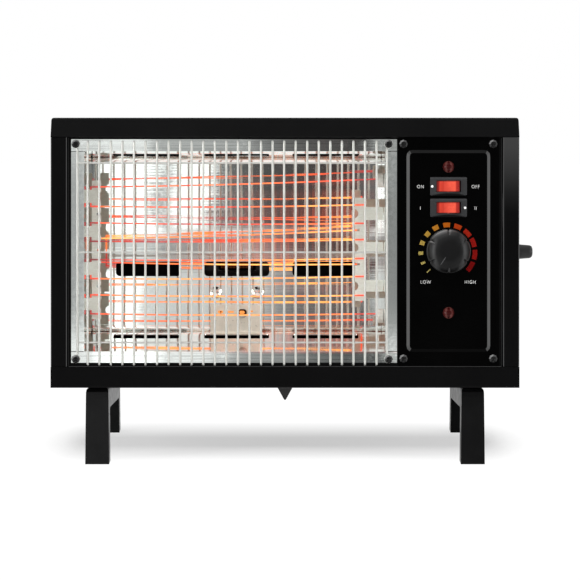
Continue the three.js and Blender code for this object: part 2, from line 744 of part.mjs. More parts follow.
function rockerSwitch(housingName, rockerName, jointName, z) {
  const x = panelMiddle;
  const halfLength = rockerSwing + bezelRim;
  const bezel = alongY(
    roundedRectangle(x - halfLength, z - bezelHalf, x + halfLength, z + bezelHalf, bezelCorner),
    bezelFront, bezelBack);
  const shell = block([x - bezelBody / 2, bezelFront + overrun, z - bodyHeight],
    [x + bezelBody / 2, bezelBack + bodyDepth, z + bodyHeight]);
  const blades = [-1, 0, 1].map((at) => {
    const bladeX = x + at * bladeSpread;
    const back = bezelBack + bodyDepth;
    return block([bladeX - bladeThickness / 2, back - overrun, z - bladeWidth / 2],
      [bladeX + bladeThickness / 2, back + bladeLength, z + bladeWidth / 2]);
  });
  const cavity = block([x - rockerSwing, bezelFront - overrun, z - cavityHeight],
    [x + rockerSwing, bezelFront + cavityDepth, z + cavityHeight]);
  const bore = rod(trunnionRadius + slack, [x, rockerPivotY, z - cavityHeight - trunnionReach - seat],
    [x, rockerPivotY, z + cavityHeight + trunnionReach + seat], screwSides);
  place(housingName, cutBy(joined([bezel, shell, ...blades]), [cavity, bore]), greyPlastic);

  const outline = new THREE.Shape();
  outline.moveTo(-rockerLength / 2, -rockerSeat);
  outline.lineTo(0, rockerDip - rockerSeat);
  outline.lineTo(rockerLength / 2, -rockerSeat);
  outline.lineTo(rockerLength / 2, 0);
  outline.quadraticCurveTo(0, rockerDome, -rockerLength / 2, 0);
  const paddle = alongZ(outline, -rockerHeight / 2, rockerHeight / 2);
  const reach = rockerHeight / 2 + trunnionReach;
  const trunnions = rod(trunnionRadius, [0, 0, -reach], [0, 0, reach], screwSides);
  const swing = pivot(jointName, [x, rockerPivotY, z]);
  swing.rotation.z = -rockerTurn;
  place(rockerName, paddle.add(trunnions), redPlastic, swing);
}

// Pilot lamps: a faceted lens pressed in from the front and a lamp holder behind the plate.
const lensHeight = 4;
const lensSides = 10;
const lampRadius = 4.4;
const lampLength = 16;
const lampLegs = 5;
const lampLegRadius = 0.6;
const domeShares = [[1, 0.12], [0.86, 0.5], [0.55, 0.84]];

function pilotLamp(lensName, holderName, z) {
  const neckEnd = insertBack + seat;
  const dome = domeShares.map(([across, up]) => [lensRadius * across, -lensHeight * up]).reverse();
  const profile = [[0, -lensHeight], ...dome, [lensRadius, 0], [lampNeck, 0], [lampNeck, neckEnd - bezelBack],
    [0, neckEnd - bezelBack]];
  place(lensName, turned(profile, [panelMiddle, bezelBack, z], axisY, lensSides), darkRedLens);
  const start = neckEnd + seat;
  const holder = rod(lampRadius, [panelMiddle, start, z], [panelMiddle, start + lampLength, z], lensSides);
  const legs = [-1, 1].map((side) => {
    const x = panelMiddle + (side * lampRadius) / 2;
    const end = start + lampLength;
    return rod(lampLegRadius, [x, end - overrun, z], [x, end + lampLegs, z], screwSides);
  });
  place(holderName, joined([holder, ...legs]), blackPlastic);
}

// Thermostat: a switch block on its threaded bush, a spindle through it and a bell-shaped knob with a skirt.
const thermostatWidth = 36;
const thermostatHeight = 28;
const thermostatDepth = 18;
const tabRise = 7;
const spindleRadius = 3;
const spindleReach = 9;
const spindleTail = 8;
const knobHeight = 15;
const knobCrown = 12.6;
const knobFlatShare = 0.8;
const knobGap = 1;
const knobWall = 2;
const knobHub = 5.5;
const knobBand = 2.4;
const knobNotches = 6;
const notchRadius = 1.3;
const pointerLength = 10;
const pointerWidth = 0.9;
const pointerDepth = 0.6;
const pointerInner = 7;
const knobStartDegrees = -147;

function knobBody(radius, crown, height, wall, hub, bore, boreDepth, sides) {
  const profile = [
    [0, height], [crown * knobFlatShare, height], [crown, height - wall / 2],
    [radius - wall, knobBand + wall / 2], [radius, knobBand], [radius, 0], [radius - wall, 0],
    [crown - wall, height - 2 * wall], [hub, height - 2 * wall], [hub, 0], [bore, 0], [bore, boreDepth],
    [0, boreDepth],
  ];
  return turned(profile.reverse(), [0, 0, 0], axisY.clone().negate(), sides);
}

function thermostat() {
  const x = panelMiddle;
  const front = insertBack + seat;
  const blockFront = front + steel;
  const [halfWide, halfHigh] = [thermostatWidth / 2, thermostatHeight / 2];
  const plate = block([x - halfWide, front, thermostatZ - halfHigh],
    [x + halfWide, blockFront + weld, thermostatZ + halfHigh]);
  const boxed = block([x - halfWide + steel, blockFront, thermostatZ - halfHigh + steel],
    [x + halfWide - steel, blockFront + thermostatDepth, thermostatZ + halfHigh - steel]);
  const bush = rod(thermostatBush, [x, fieldFront, thermostatZ], [x, blockFront, thermostatZ],
    screwSides * 2);
  const tabs = [-1, 1].map((side) => {
    const tabX = x + (side * halfWide) / 2;
    const back = blockFront + thermostatDepth;
    return block([tabX - bladeThickness / 2, back - overrun, thermostatZ - bladeWidth / 2],
      [tabX + bladeThickness / 2, back + tabRise, thermostatZ + bladeWidth / 2]);
  });
  const bore = rod(spindleRadius + slack, [x, fieldFront - overrun, thermostatZ],
    [x, blockFront + spindleTail + seat, thermostatZ], screwSides * 2);
  place("thermostat", joined([plate, boxed, bush, ...tabs]).subtract(bore), zincSteel);

  const turn = pivot("thermostat_turn", [x, fieldFront - knobGap, thermostatZ]);
  const tail = blockFront + spindleTail - (fieldFront - knobGap);
  place("thermostat_spindle",
    rod(spindleRadius, [0, -spindleReach, 0], [0, tail, 0], screwSides * 2), zincSteel, turn);
  const knob = knobBody(knobRadius, knobCrown, knobHeight, knobWall, knobHub, spindleRadius + slack,
    spindleReach + seat, knobSides);
  const notches = Array.from({ length: knobNotches }, (_, i) => {
    const angle = (2 * Math.PI * i) / knobNotches;
    const [u, v] = [knobRadius * Math.sin(angle), knobRadius * Math.cos(angle)];
    return rod(notchRadius, [u, -knobBand - knobWall, v], [u, overrun, v], screwSides);
  });
  const angle = THREE.MathUtils.degToRad(knobStartDegrees);
  const groove = new THREE.BoxGeometry(pointerWidth, 2 * pointerDepth, pointerLength);
  groove.translate(0, -knobHeight, pointerInner + pointerLength / 2).rotateY(angle);
  place("thermostat_knob", cutBy(knob, [...notches, solid(groove)]), blackPlastic, turn);
}

rockerSwitch("power_switch", "power_rocker", "power_rock", powerSwitchZ);
rockerSwitch("heat_switch", "heat_rocker", "heat_rock", heatSwitchZ);
pilotLamp("power_lens", "power_lamp", powerLampZ);
pilotLamp("alarm_lens", "alarm_lamp", alarmLampZ);
thermostat();

// Heating element: two mica combs stand on the trough's end walls and a flat ribbon snakes to and fro across
// their bands, held at its two ends by ceramic bushes.
const micaFront = elementDepth;
const micaThickness = 1.6;
const micaBack = micaFront + micaThickness;
const micaSpine = 8;
const notchDepth = 4;
const notchInset = 1;
const combMargin = 8;
const leftReach = 11.5;
const rightReach = 24.6;
const slitHeight = 1;
const ribbonWidth = 1.2;
const ribbonThickness = 0.5;
const ribbonSag = 1.2;
const ribbonFold = 0.5;
const sagSteps = 4;
// Heights of the bands, the slits and the strands, as shares of the trough's height
const leftBandShares = [[0.7439, 0.8117], [0.5708, 0.6269], [0.3778, 0.4439], [0.1994, 0.262]];
const leftSlitShares = [0.6865, 0.5041, 0.3187];
const rightBandShares = [[0.6573, 0.7234], [0.4865, 0.5456], [0.293, 0.3515]];
const rightSlitShares = [0.6058, 0.4322];
const strandShares = [
  [0.8251, 0.8655], [0.7263, 0.7345], [0.6433, 0.6409], [0.5491, 0.5579],
  [0.4561, 0.462], [0.3596, 0.3708], [0.2772, 0.2743], [0.1807, 0.1807],
];
const boostShares = [[0.5632, 0.6058], [0.4433, 0.4322]];
const upTroughPairs = (pairs) => pairs.map((pair) => pair.map(upTrough));
const combs = {
  left: {
    wall: troughLeft + seat, edge: troughLeft + leftReach,
    bands: upTroughPairs(leftBandShares), slits: leftSlitShares.map(upTrough),
  },
  right: {
    wall: troughRight - seat, edge: troughRight - rightReach,
    bands: upTroughPairs(rightBandShares), slits: rightSlitShares.map(upTrough),
  },
};
const strands = upTroughPairs(strandShares);

function comb(name, { wall, edge, bands, slits }) {
  const side = Math.sign(wall - edge);
  const spineEnd = edge + side * micaSpine;
  const [low, high] = [bands.at(-1)[0] - combMargin, bands[0][1] + combMargin];
  const biteX = edge - side * notchInset;
  const board = (from, to, z0, z1) =>
    block([Math.min(from, to), micaFront, z0], [Math.max(from, to), micaBack, z1]);
  const arms = bands.map(([z0, z1]) => board(spineEnd - side * overrun, wall, z0, z1));
  const bites = bands.map(([z0, z1]) => {
    const z = (z0 + z1) / 2;
    return rod(notchDepth, [biteX, micaFront - overrun, z], [biteX, micaBack + overrun, z], knobSides / 2);
  });
  const cuts = slits.map((z) => block(
    [Math.min(edge - side * overrun, edge + side * notchDepth), micaFront - overrun, z - slitHeight],
    [Math.max(edge - side * overrun, edge + side * notchDepth), micaBack + overrun, z + slitHeight]));
  place(name, cutBy(joined([board(edge, spineEnd, low, high), ...arms]), [...bites, ...cuts]), mica);
}

// The ribbon is laid as straight strands, front edge to the room, each sagging a little between the combs.
function strand(fromX, fromZ, toX, toZ, y) {
  const points = Array.from({ length: sagSteps + 1 }, (_, i) => {
    const share = i / sagSteps;
    const drop = 4 * ribbonSag * share * (1 - share);
    return [fromX + (toX - fromX) * share, fromZ + (toZ - fromZ) * share - drop];
  });
  const corner = (side) => ([x, z]) => new THREE.Vector2(x, z + (side * ribbonWidth) / 2);
  const outline = new THREE.Shape([...points.map(corner(-1)), ...points.reverse().map(corner(1))]);
  return alongY(outline, y, y + ribbonThickness);
}

// At a band the ribbon is folded through the window, runs down behind the band and comes out below it.
const ribbonFront = micaFront - seat - ribbonThickness;
const ribbonBack = micaBack + seat;

function ribbonReturn(x, highZ, lowZ) {
  const [front, back] = [ribbonFront + ribbonThickness / 2, ribbonBack + ribbonThickness / 2];
  const line = [[front, highZ], [back, highZ], [back, lowZ], [front, lowZ]];
  const outline = folded(line, [0, ribbonFold, ribbonFold, 0], ribbonThickness);
  return alongX(outline, x - ribbonWidth / 2, x + ribbonWidth / 2);
}

const leftTurn = combs.left.edge - micaSpine - slack - ribbonWidth / 2;
const rightTurn = combs.right.edge + micaSpine + slack + ribbonWidth / 2;
const bushFace = troughRight - seat - bushLength;

function mainRibbon() {
  const last = strands.length - 1;
  const runs = strands.map(([leftZ, rightZ], i) => {
    const rightX = i === 0 || i === last ? bushFace - seat : rightTurn + ribbonWidth / 2;
    return strand(leftTurn - ribbonWidth / 2, leftZ, rightX, rightZ, ribbonFront);
  });
  const turns = strands.slice(1).map(([leftZ, rightZ], i) => (i % 2
    ? ribbonReturn(rightTurn, strands[i][1], rightZ)
    : ribbonReturn(leftTurn, strands[i][0], leftZ)));
  place("ribbon_main", joined([...runs, ...turns]), glowing);
}

// A second, shorter ribbon for the high setting lies behind the combs, its ends hooked through their slits.
const boostInset = 8.5;
const boostLeft = troughLeft + boostInset;
const boostEnds = upTroughPairs(boostShares);
const boostHook = combs.right.edge + ribbonWidth;

function boostRibbon() {
  const runs = boostEnds.map(([leftZ, rightZ]) =>
    strand(boostLeft, leftZ, boostHook + ribbonWidth / 2, rightZ, ribbonBack));
  const hooks = boostEnds.map(([, z]) =>
    block([boostHook - ribbonWidth / 2, ribbonFront, z - ribbonThickness / 2],
      [boostHook + ribbonWidth / 2, ribbonBack + ribbonThickness, z + ribbonThickness / 2]));
  const link = block([boostLeft, ribbonBack, boostEnds[1][0]],
    [boostLeft + ribbonWidth, ribbonBack + ribbonThickness, boostEnds[0][0]]);
  place("ribbon_boost", joined([...runs, ...hooks, link]), glowing);
}

function terminalBush(name, z) {
  const length = bushLength + insertSheet + 2 * seat + bushTail;
  const profile = [[0, 0], [bushRadius - steel, 0], [bushRadius, steel], [bushRadius, bushLength],
    [bushShank, bushLength], [bushShank, length], [0, length]];
  place(name, turned(profile, [bushFace, elementDepth, z], axisX, roundSides), ceramic);
}

comb("insulator_left", combs.left);
comb("insulator_right", combs.right);
mainRibbon();
boostRibbon();
terminalBush("terminal_bush_upper", bushHigh);
terminalBush("terminal_bush_lower", bushLow);

// Safety cut-out: a small can riveted to a bent plate that stands on the trough's lower wall.
const plateWidth = 44.1;
const plateShift = 0.85;
const plateDepthShare = 0.8824;
const plateDepth = troughDepth * plateDepthShare;
const plateGap = 4.7;
const plateFoot = 6.5;
const plateHoleInset = 8.7;
const plateHolePitch = 6.1;
const plateHoleRadius = 1.3;
const plateHoleDrop = 7.2;
const cutoutInset = 15.8;
const cutoutDrop = 8;
const cutoutRadius = 4;
const cutoutLength = 5;
const rivetRadius = 1.6;
const rivetHead = 2.8;

// Height of the trough's lower wall at a depth, read off its own middle line.
function troughFloor(depth) {
  const line = foldedLine(troughCorners, troughRadii).filter((point) => point.y < backMiddleZ);
  const end = line.findIndex((point) => point.x < depth);
  const [behind, ahead] = [line[end - 1], line[end]];
  const share = (depth - ahead.x) / (behind.x - ahead.x);
  return ahead.y + share * (behind.y - ahead.y);
}

function safetyCutout() {
  const rest = insertSheet + slack;
  const plateLeft = troughMiddle - plateShift - plateWidth / 2;
  const plateRight = plateLeft + plateWidth;
  const plateTop = studZ - studHead - plateGap;
  const plateHoles = [0, 1].map((step) => plateLeft + plateHoleInset + step * plateHolePitch);
  const cutoutX = plateRight - cutoutInset;
  const cutoutZ = plateTop - cutoutDrop;
  const line = [[plateDepth - plateFoot, troughFloor(plateDepth - plateFoot) + rest],
    [plateDepth, troughFloor(plateDepth) + rest], [plateDepth, plateTop]];
  const plate = alongX(folded(line, [0, foldRadius, 0], insertSheet), plateLeft, plateRight);
  const through = (x, z, radius) =>
    rod(radius, [x, plateDepth - overrun, z], [x, plateDepth + overrun, z], screwSides);
  place("cutout_plate", cutBy(plate, [through(cutoutX, cutoutZ, rivetRadius + slack),
    ...plateHoles.map((x) => through(x, plateTop - plateHoleDrop, plateHoleRadius))]), brightAluminium);
  const face = insertSheet / 2 + seat;
  const profile = [[0, -face - cutoutLength], [cutoutRadius - half, -face - cutoutLength],
    [cutoutRadius, -face - cutoutLength + half], [cutoutRadius, -face], [rivetRadius, -face],
    [rivetRadius, face], [rivetHead, face], [rivetHead, face + steel], [0, face + steel]];
  place("thermal_cutout", turned(profile, [cutoutX, plateDepth, cutoutZ], axisY, roundSides / 2), zincSteel);
}

safetyCutout();

// Fan: a shaded-pole motor hangs on two studs behind the reflector and turns a bladed wheel at the inlet.
const shaftRadius = 1.5;
const stackGap = 11;
const stackLength = 18;
const stackFront = troughDepth + crownDepth + stackGap;
const stackBack = stackFront + stackLength;
const stackHalf = 28;
const stackDrop = 18;
const stackRise = 38;
const limbHeight = 9;
const limbWidth = 11;
const coilWall = 9;
const coilHalf = 14;
const studDome = 3.4;
const studEnd = 5;
const bossRadius = 4;
const wheelRadius = 50;
const wheelHub = 9;
const wheelStand = 11;
const wheelFront = stackBack + wheelStand;
const wheelDepth = 15;
const bladeCount = 5;
const bladeSheet = 1.2;
const bladeTurnDegrees = 32;
const bladeSweepShare = 0.8;
const shaftNose = 4;
const shaftFront = stackFront - shaftNose;
const shaftBack = wheelFront + wheelDepth;
const bracketDepth = 4;
const motorEdge = 2;
const wallBehind = (z) => troughDepth + (crownDepth * (z - troughLow - bottomRise)) /
  (backMiddleZ - troughLow - bottomRise);

function fanMotor() {
  const [x, z] = [troughMiddle, studZ];
  const outline = roundedRectangle(x - stackHalf, z - stackDrop, x + stackHalf, z + stackRise, motorEdge);
  const limbTop = z + stackRise - limbHeight;
  const windowBottom = limbTop - coilWall - 2 * seat;
  const [windowLeft, windowRight] = [x - stackHalf + limbWidth, x + stackHalf - limbWidth];
  outline.holes.push(new THREE.Path([[windowLeft, windowBottom], [windowLeft, limbTop],
    [windowRight, limbTop], [windowRight, windowBottom]].map((point) => new THREE.Vector2(...point))));
  const bossFront = wallBehind(z) + insertSheet + seat;
  const bosses = studColumns.map((at) =>
    rod(bossRadius, [at, bossFront, z], [at, stackFront + weld, z], roundSides / 2));
  const bridge = block([x - stackHalf + motorEdge, stackBack - weld, z - bossRadius],
    [x + stackHalf - motorEdge, stackBack + bracketDepth, z + bossRadius]);
  const bores = studColumns.map((at) =>
    rod(studRadius + slack, [at, bossFront - overrun, z], [at, stackBack + bracketDepth + overrun, z],
      screwSides));
  const bearing = rod(shaftRadius + slack, [x, shaftFront - overrun, z],
    [x, stackBack + bracketDepth + overrun, z], screwSides * 2);
  const stack = joined([alongY(outline, stackFront, stackBack), ...bosses, bridge]);
  place("motor_stack", cutBy(stack, [...bores, bearing]), zincSteel);

  const winding = roundedRectangle(stackFront - seat - coilWall, limbTop - seat - coilWall,
    stackBack + seat + coilWall, limbTop + limbHeight + seat + coilWall, coilWall / 2);
  winding.holes.push(
    roundedRectangle(stackFront - seat, limbTop - seat, stackBack + seat, limbTop + limbHeight + seat, seat));
  place("motor_coil", alongX(winding, x - coilHalf, x + coilHalf), copperWire);

  studColumns.forEach((at, i) => {
    const face = wallBehind(z) - insertSheet - seat;
    const end = stackBack + bracketDepth + studEnd - face;
    const dome = domeShares.map(([across, up]) => [studHead * across, -studDome * up]).reverse();
    const profile = [[0, -studDome], ...dome, [studHead, 0], [studRadius, 0], [studRadius, end], [0, end]];
    const stud = turned(profile, [at, face, z], axisY, roundSides / 2);
    place(`motor_stud_${i ? "right" : "left"}`, stud, zincSteel);
  });
}

// A blade is a sector of sheet pitched about its own radius, wide at the tip and narrow at the hub.
function fanWheel() {
  const turn = pivot("fan_spin", [troughMiddle, 0, studZ]);
  const hub = rod(wheelHub, [0, wheelFront, 0], [0, wheelFront + wheelDepth, 0], roundSides);
  const shaft = rod(shaftRadius, [0, shaftFront, 0], [0, shaftBack + overrun, 0], screwSides * 2);
  const sweep = (bladeSweepShare * Math.PI) / bladeCount;
  const blades = Array.from({ length: bladeCount }, (_, i) => {
    const sector = new THREE.Shape();
    sector.moveTo(wheelHub - overrun, -wheelHub / 2);
    sector.lineTo(wheelRadius * Math.cos(sweep), -wheelRadius * Math.sin(sweep));
    sector.absarc(0, 0, wheelRadius, -sweep, sweep, false);
    sector.lineTo(wheelHub - overrun, wheelHub / 2);
    const blade = new THREE.ExtrudeGeometry(sector,
      { depth: bladeSheet, bevelEnabled: false, curveSegments: roundSides / 4 });
    blade.translate(0, 0, -bladeSheet / 2).rotateX(Math.PI / 2);
    blade.rotateX(THREE.MathUtils.degToRad(bladeTurnDegrees));
    blade.rotateY((2 * Math.PI * i) / bladeCount);
    blade.translate(0, wheelFront + wheelDepth / 2, 0);
    return solid(blade);
  });
  const rim = rod(wheelRadius + overrun, [0, wheelFront, 0], [0, wheelFront + wheelDepth, 0], knobSides);
  place("fan_rotor", joined([joined(blades).intersect(rim), hub, shaft]), blackPlastic, turn);
}

// Partition between the hot trough and the wiring space behind the control panel.
const baffleSheet = 1;
const baffleGap = 1.9;
const baffleX = frameRight + baffleGap;
const baffleFront = 12;
const baffleLip = 12;

function partition() {
  const low = steel + seat;
  const high = cabinetHeight - steel - seat;
  const line = [[baffleX + baffleLip, low + half], [baffleX, low + half], [baffleX, high]];
  const sheet = alongY(folded(line, [0, foldRadius, 0], baffleSheet), baffleFront, rearFront - seat);
  place("heat_baffle", sheet, fibreBoard);
}

fanMotor();
fanWheel();
partition();

// Side switch: a small rotary switch behind the right wall, its tapered knob outside on the spindle.
const sideKnobBase = 8.2;
const sideKnobEnd = 5.8;
const sideKnobReach = 18.3;
const sideKnobRound = 2.6;
const sideKnobRing = 2.2;
const roundShare = 0.33;
const grooveWidth = 1.2;
const sideBodyRadius = 9;
const sideBodyLength = 13;
const sideSpindle = 2.5;
const sideSpindleTail = 8;

function sideControl() {
  const innerFace = right - 2 * steel - 2 * seat;
  const outerFace = right + seat;
  const at = (x) => [x, sideKnobDepth, sideKnobHeight];
  const body = rod(sideBodyRadius, at(innerFace - sideBodyLength), at(innerFace), roundSides);
  const bush = rod(sideBush, at(innerFace - overrun), at(outerFace), screwSides * 2);
  const legs = [-1, 1].map((sign) => {
    const [z, end] = [sideKnobHeight + sign * sideBush, innerFace - sideBodyLength];
    return block([end - tabRise, sideKnobDepth - bladeWidth / 2, z - half],
      [end + overrun, sideKnobDepth + bladeWidth / 2, z + half]);
  });
  const bore = rod(sideSpindle + slack, at(innerFace - sideSpindleTail - seat), at(outerFace + overrun),
    screwSides * 2);
  place("side_switch", joined([body, bush, ...legs]).subtract(bore), blackPlastic);

  const turn = pivot("side_turn", [outerFace + seat, sideKnobDepth, sideKnobHeight]);
  const roundEdge = sideKnobEnd - sideKnobRound;
  const profile = [[0, -sideSpindleTail], [sideSpindle, -sideSpindleTail], [sideSpindle, 0],
    [sideKnobBase, 0], [sideKnobBase, sideKnobRing], [sideKnobEnd + steel, sideKnobRing + steel],
    [sideKnobEnd, sideKnobReach - sideKnobRound],
    [sideKnobEnd - sideKnobRound * roundShare, sideKnobReach - sideKnobRound * roundShare],
    [roundEdge, sideKnobReach],
    [0, sideKnobReach]];
  const knob = turned(profile, [0, 0, 0], axisX, roundSides);
  const groove = block([sideKnobRing + 2 * steel, -grooveWidth / 2, sideKnobEnd - grooveWidth],
    [sideKnobReach + overrun, grooveWidth / 2, sideKnobBase]);
  place("side_knob", knob.subtract(groove), blackPlastic, turn);
}

// Tip-over cut-out: a weighted lever hangs on its bracket through the base and works a small switch above.
const tiltPivotZ = 12;
const tiltEar = 9.5;
const tiltEarHalf = 9;
const tiltFoot = 9;
const tiltBridgeZ = 20.5;
const tiltPin = 1.5;
const tiltCam = 6;
const tiltArm = 5;
const tiltWedge = 6.5;
const tiltShoulder = 15;
const tiltTip = 26;
const tiltTipHalf = 1.2;
const tiltSheet = 6;
const tiltSwitchHigh = 8;
const tiltSwitchHalf = 10;
const plungerRadius = 1.2;

function tipOverSwitch() {
  const footZ = steel + seat + half;
  const line = [[-tiltEar - tiltFoot, footZ], [-tiltEar, footZ], [-tiltEar, tiltBridgeZ],
    [tiltEar, tiltBridgeZ], [tiltEar, footZ], [tiltEar + tiltFoot, footZ]];
  const strap = alongY(folded(line, [0, foldRadius, foldRadius, foldRadius, foldRadius, 0], steel),
    leverDepth - tiltEarHalf, leverDepth + tiltEarHalf);
  const pinHole = rod(tiltPin + slack, [-tiltEar - overrun, leverDepth, tiltPivotZ],
    [tiltEar + overrun, leverDepth, tiltPivotZ], screwSides * 2);
  const plungerHole = rod(plungerRadius + slack, [0, leverDepth, tiltBridgeZ - overrun],
    [0, leverDepth, tiltBridgeZ + overrun], screwSides);
  place("tilt_bracket", cutBy(strap, [pinHole, plungerHole]), zincSteel);

  const seatZ = tiltBridgeZ + half + seat;
  const body = block([-tiltSwitchHalf, leverDepth - tiltSheet / 2, seatZ],
    [tiltSwitchHalf, leverDepth + tiltSheet / 2, seatZ + tiltSwitchHigh]);
  const plunger = rod(plungerRadius, [0, leverDepth, tiltPivotZ + tiltCam + seat],
    [0, leverDepth, seatZ + overrun], screwSides);
  const legs = [-1, 0, 1].map((sign) => {
    const x = sign * (tiltSwitchHalf - 2 * steel);
    return block([x - half, leverDepth + tiltSheet / 2 - overrun, seatZ + 2 * steel],
      [x + half, leverDepth + tiltSheet / 2 + lampLegs, seatZ + 3 * steel]);
  });
  place("tilt_switch", joined([body, plunger, ...legs]), blackPlastic);

  const swing = pivot("tilt_swing", [0, leverDepth, tiltPivotZ]);
  swing.rotation.x = lean;
  const outline = new THREE.Shape();
  outline.moveTo(-tiltArm, 0);
  outline.lineTo(-tiltWedge, -tiltShoulder);
  outline.lineTo(-tiltTipHalf, -tiltTip + tiltTipHalf);
  outline.quadraticCurveTo(0, -tiltTip - tiltTipHalf, tiltTipHalf, -tiltTip + tiltTipHalf);
  outline.lineTo(tiltWedge, -tiltShoulder);
  outline.lineTo(tiltArm, 0);
  const wedge = alongY(outline, -tiltSheet / 2, tiltSheet / 2);
  const cam = rod(tiltCam, [-tiltArm, 0, 0], [tiltArm, 0, 0], roundSides);
  const pinReach = tiltEar + steel;
  const pin = rod(tiltPin, [-pinReach, 0, 0], [pinReach, 0, 0], screwSides * 2);
  place("tilt_lever", joined([wedge, cam, pin]), blackPlastic, swing);
}

sideControl();
tipOverSwitch();

// Inside the wiring space: the sounder of the tip-over alarm and the block that takes the supply cord.
const buzzerRadius = 12;
const buzzerNeck = 10.5;
const buzzerHigh = 9;
const buzzerMouth = 2;
const buzzerDepth = 3;
const buzzerInset = 35;
const buzzerDepthShare = 0.55;
const blockInset = 72;
const blockGap = 19.7;
const blockPoles = 3;
const blockPitch = 11;
const blockPoleWidth = 9;
const blockDepth = 20;
const blockHigh = 15;
const blockBase = 4;
const blockBore = 2;
const wellShares = [0.25, 0.75];
const cordFlange = 9;
const cordFlangeThick = 3;
const cordBore = 4;
const cordTail = 8;

function wiringFittings() {
  const floor = steel + seat;
  const sounder = [[0, 0], [buzzerRadius, 0], [buzzerRadius, steel], [buzzerNeck, steel],
    [buzzerNeck, buzzerHigh - steel], [buzzerNeck - steel, buzzerHigh], [buzzerMouth, buzzerHigh],
    [buzzerMouth, buzzerHigh - buzzerDepth], [0, buzzerHigh - buzzerDepth]];
  const buzzerAt = [right - buzzerInset, cabinetDepth * buzzerDepthShare, floor];
  place("alarm_buzzer", turned(sounder, buzzerAt, axisZ, roundSides), blackPlastic);

  const blockX = right - blockInset;
  const blockBack = rearFront - blockGap;
  const blockFront = blockBack - blockDepth;
  const poles = Array.from({ length: blockPoles }, (_, i) => blockX + i * blockPitch);
  const foot = block([blockX, blockFront, floor],
    [blockX + (blockPoles - 1) * blockPitch + blockPoleWidth, blockBack, floor + blockBase]);
  const towers = poles.map((x) =>
    block([x, blockFront, floor], [x + blockPoleWidth, blockBack, floor + blockHigh]));
  const bores = poles.flatMap((x) => {
    const [mid, wireZ] = [x + blockPoleWidth / 2, floor + blockHigh / 2];
    const run = rod(blockBore, [mid, blockFront - overrun, wireZ], [mid, blockBack + overrun, wireZ],
      screwSides);
    const wells = wellShares.map((share) => {
      const y = blockFront + blockDepth * share;
      return rod(blockBore, [mid, y, wireZ], [mid, y, floor + blockHigh + overrun], screwSides);
    });
    return [run, ...wells];
  });
  place("terminal_block", cutBy(joined([foot, ...towers]), bores), ceramic);

  const behind = rearBack + seat;
  const gland = [[cordBore, -cordTail], [cordBush, -cordTail], [cordBush, 0], [cordFlange, 0],
    [cordFlange - half, cordFlangeThick], [cordBore, cordFlangeThick], [cordBore, -cordTail]];
  place("cord_bush", turned(gland, [cordX, behind, cordZ], axisY, roundSides), blackPlastic);
}

wiringFittings();

// Feet: two bridge-shaped mouldings run front to back under the base; their soles are cut to the floor line.
const footInset = 39.4;
const footEnd = 6;
const footX = right - footInset;
const footFront = footEnd;
const footRear = cabinetDepth - footEnd;
const footLeg = 18;
const footWeb = 17.8;
const footTopHalf = 9.65;
const footBottomHalf = 10.25;
const footDrop = 65.6;
const footOuterRadius = 8;
const footInnerRadius = 3;
const footCrownRadius = 3.5;

function foot(name, x) {
  const floorAt = (y) => -footDrop + (y - footFront) * Math.tan(lean);
  const deep = floorAt(footFront) - overrun;
  const side = new THREE.Shape();
  side.moveTo(footFront, deep);
  side.lineTo(footFront, -seat - footOuterRadius);
  side.quadraticCurveTo(footFront, -seat, footFront + footOuterRadius, -seat);
  side.lineTo(footRear - footOuterRadius, -seat);
  side.quadraticCurveTo(footRear, -seat, footRear, -seat - footOuterRadius);
  side.lineTo(footRear, deep);
  side.lineTo(footRear - footLeg, deep);
  side.lineTo(footRear - footLeg, -footWeb - footInnerRadius);
  side.quadraticCurveTo(footRear - footLeg, -footWeb, footRear - footLeg - footInnerRadius, -footWeb);
  side.lineTo(footFront + footLeg + footInnerRadius, -footWeb);
  side.quadraticCurveTo(footFront + footLeg, -footWeb, footFront + footLeg, -footWeb - footInnerRadius);
  side.lineTo(footFront + footLeg, deep);
  const bar = alongX(side, x - footBottomHalf - overrun, x + footBottomHalf + overrun);
  const front = new THREE.Shape();
  front.moveTo(x - footBottomHalf, -footDrop);
  front.lineTo(x + footBottomHalf, -footDrop);
  front.lineTo(x + footTopHalf, -seat - footCrownRadius);
  front.quadraticCurveTo(x + footTopHalf, -seat, x + footTopHalf - footCrownRadius, -seat);
  front.lineTo(x - footTopHalf + footCrownRadius, -seat);
  front.quadraticCurveTo(x - footTopHalf, -seat, x - footTopHalf, -seat - footCrownRadius);
  const section = alongY(front, footFront - overrun, footRear + overrun);
  const below = new THREE.Shape([[footFront - overrun, floorAt(footFront - overrun)],
    [footRear + overrun, floorAt(footRear + overrun)], [footRear + overrun, deep - overrun],
    [footFront - overrun, deep - overrun]].map((point) => new THREE.Vector2(...point)));
  const floorCut = alongX(below, x - footBottomHalf - 2 * overrun, x + footBottomHalf + 2 * overrun);
  place(name, bar.intersect(section).subtract(floorCut), blackPlastic);
}

foot("foot_left", -footX);
foot("foot_right", footX);

// The cabinet leans back on its feet; the soles rest on the floor and the outline is centred over the origin.
cabinet.rotation.x = -lean;
heater.updateMatrixWorld(true);
const outline = new THREE.Box3().setFromObject(heater, true);
const middle = outline.getCenter(new THREE.Vector3());
cabinet.position.set(-middle.x, -middle.y, -outline.min.z);
heater.updateMatrixWorld(true);

export default heater;
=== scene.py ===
import json
import math

import bmesh
import bpy
from mathutils import Matrix, Vector


